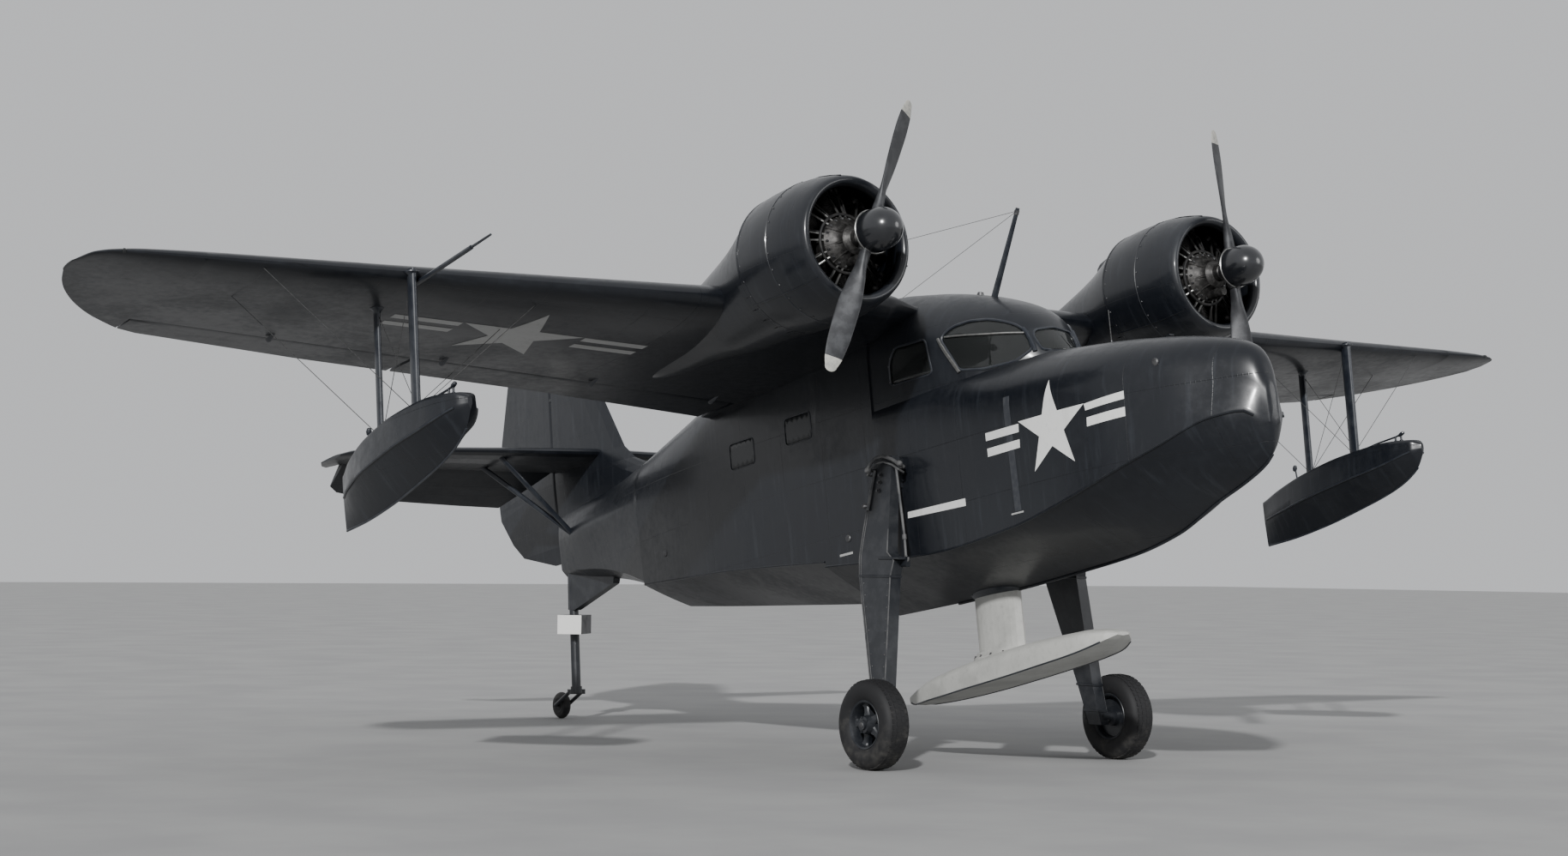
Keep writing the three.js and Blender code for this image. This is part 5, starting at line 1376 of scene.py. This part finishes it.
# Rails along the chine: parts of the hull with distance from its side and stations, then the radius
CHINE_RAILS = (
    ([(0, 3, steps(60, 3900, 50)), (1, 3, steps(3960, 4740, 60))], 10), ([(2, 2, steps(4760, 8060, 70))], 9),
)
HULL_FITTING = [(0, 10), (14, 12), (30, 9), (34, 3), (34, -8)]
FITTINGS_AT = ((700, 1380), (4380, 620), (7500, 980))
TIP_LIGHT = [(0, 26), (10, 22), (17, 10), (20, -30)]
# Hinge bracket under the wing: distance ahead of the hinge, height over the skin, radius
BRACKET = ((190, 12, 10), (60, -24, 22), (34, -26, 20))
BRACKET_SPANS = (1100, 2400, 3900, 5500)


def build_antenna():
    wires = [tube([MAST_HEAD, end], 2.2, 6) for end in ((0, 9990, 3800), (0, 4420, 2742))]
    wires.append(tube([(0, 1670, 1765), (0, 1670, 2045)], 4.5, 6))
    piece("antenna_wires", wires, WIRE_METAL)
    piece("antenna_posts", [lathe(*post) for post in ANTENNA_POSTS], BARE_METAL)


def build_hull_trim():
    strips = []
    for side in (-1, 1):
        for runs, radius in CHINE_RAILS:
            path = []
            for part, out, stations in runs:
                rows = HULL_PARTS[part]
                path += [(side * (between(rows, 2, at) + out), at, between(rows, 3, at)) for at in stations]
            strips.append(tube(path, radius, 6))
    strips.append(tube([(0, at, between(HULL_PARTS[0], 1, at) - 4) for at in steps(60, 3900, 60)], 12, 6))
    piece("hull_rails", strips, HULL_PAINT)
    frames = []
    for place, outline in CABIN_WINDOWS.items():
        for label, _, side in SIDES:
            pane(f"cabin_pane_{place}_{label}", outline, on_hull(side, -3.5), 60, 5, WINDOW_PAINT,
                 f"window_{place}_{label}")
            frames.append(tube([on_hull(side, 0.5)(s, h) for s, h in outline], 5, 6, closed=True))
    piece("window_frames", frames, STRUT_PAINT)
    fittings = []
    for side in (-1, 1):
        places = [(side * hull_half(s, h), s, h) for s, h in FITTINGS_AT]
        fittings += [lathe(HULL_FITTING, p, (side, 0, 0), 16) for p in places]
    piece("hull_fittings", fittings, BARE_METAL)


def build_wing_trim():
    lights = [lathe(TIP_LIGHT, (side * 7290, 3975, 2557), (side * 0.3, -1, 0), 20) for side in (-1, 1)]
    piece("tip_lights", lights, GLASS)
    brackets = []
    for side in (-1, 1):
        for span in BRACKET_SPANS:
            s = wing_section(span)
            z = s.at(s.share, -1).z
            path = [(side * span, s.hinge.y - ahead, z + up) for ahead, up, _ in BRACKET]
            brackets.append(tube(path, [radius for _, _, radius in BRACKET], 10, flat=0.6))
    piece("wing_brackets", brackets, STRUT_PAINT)


# Paint of the solids that show themselves, by the first words of their names
CAD_PAINTS = {
    "bow_hatch": HULL_PAINT, "cabin_door": HULL_PAINT, "fin": TAIL_PAINT, "rudder": TAIL_PAINT,
    "tailplane": TAIL_PAINT, "elevator": TAIL_PAINT, "tail_struts": STRUT_PAINT, "radio_mast": STRUT_PAINT,
    "pitot_boom": STRUT_PAINT, "ski_strut": PALE_PAINT, "beaching_leg": GEAR_PAINT, "tail_post": GEAR_PAINT,
    "tail_fork": GEAR_PAINT, "ballast_box": CREAM_PAINT, "tail_wheel": RUBBER, "seat": SEAT_PAINT,
    "instrument_panel": CABIN_PAINT,
}


def paint_nodes():
    for name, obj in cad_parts.items():
        if obj.hide_render:
            continue
        obj.data.materials.clear()
        obj.data.materials.append(CAD_PAINTS[name.removesuffix("_right").removesuffix("_left")])
        shade(obj.data, 28)


def light(name, kind, energy, at, target, size):
    data = bpy.data.lights.new(name, kind)
    data.energy = energy
    if kind == "AREA":
        data.shape = "DISK"
        data.size = size
    else:
        data.angle = math.radians(size)
    lamp = bpy.data.objects.new(name, data)
    lamp.location = at
    lamp.rotation_euler = (Vector(target) - Vector(at)).to_track_quat("-Z", "Y").to_euler()
    bpy.context.scene.collection.objects.link(lamp)


FLOOR_HALF = 150


def build_stage():
    mesh = bpy.data.meshes.new("floor")
    corners = rectangle(-FLOOR_HALF, FLOOR_HALF, -FLOOR_HALF, FLOOR_HALF)
    mesh.from_pydata([(x, y, 0) for x, y in corners], [], [(0, 1, 2, 3)])
    floor = bpy.data.objects.new("floor", mesh)
    bpy.context.scene.collection.objects.link(floor)
    p = Paint("floor_pale", air=False)
    color = p.mix(p.ramp(p.noise(0.7, 4), 0.3, 0.7), (0.27, 0.27, 0.27), (0.31, 0.31, 0.306))
    mesh.materials.append(p.finish(color, 0.85, p.bump(p.noise(12.0, 4), 0.002, 0.4)))
    world = bpy.data.worlds.new("studio")
    world.use_nodes = True
    back = world.node_tree.nodes["Background"]
    back.inputs["Color"].default_value = (0.8, 0.81, 0.83, 1)
    back.inputs["Strength"].default_value = 0.8
    bpy.context.scene.world = world
    light("key", "SUN", 3.6, (-27.4, -27, 20), (0, 0, 0), 2.0)
    light("fill", "AREA", 700, (14, -18, 9), (0, 0, 2), 9)


for build in (
    build_hull, build_canopy, build_wing, build_nacelles, build_engines, build_propellers, build_floats, build_ski,
    build_wheels, build_gear, build_markings, build_antenna, build_hull_trim, build_wing_trim, paint_nodes,
    build_stage,
):
    build()
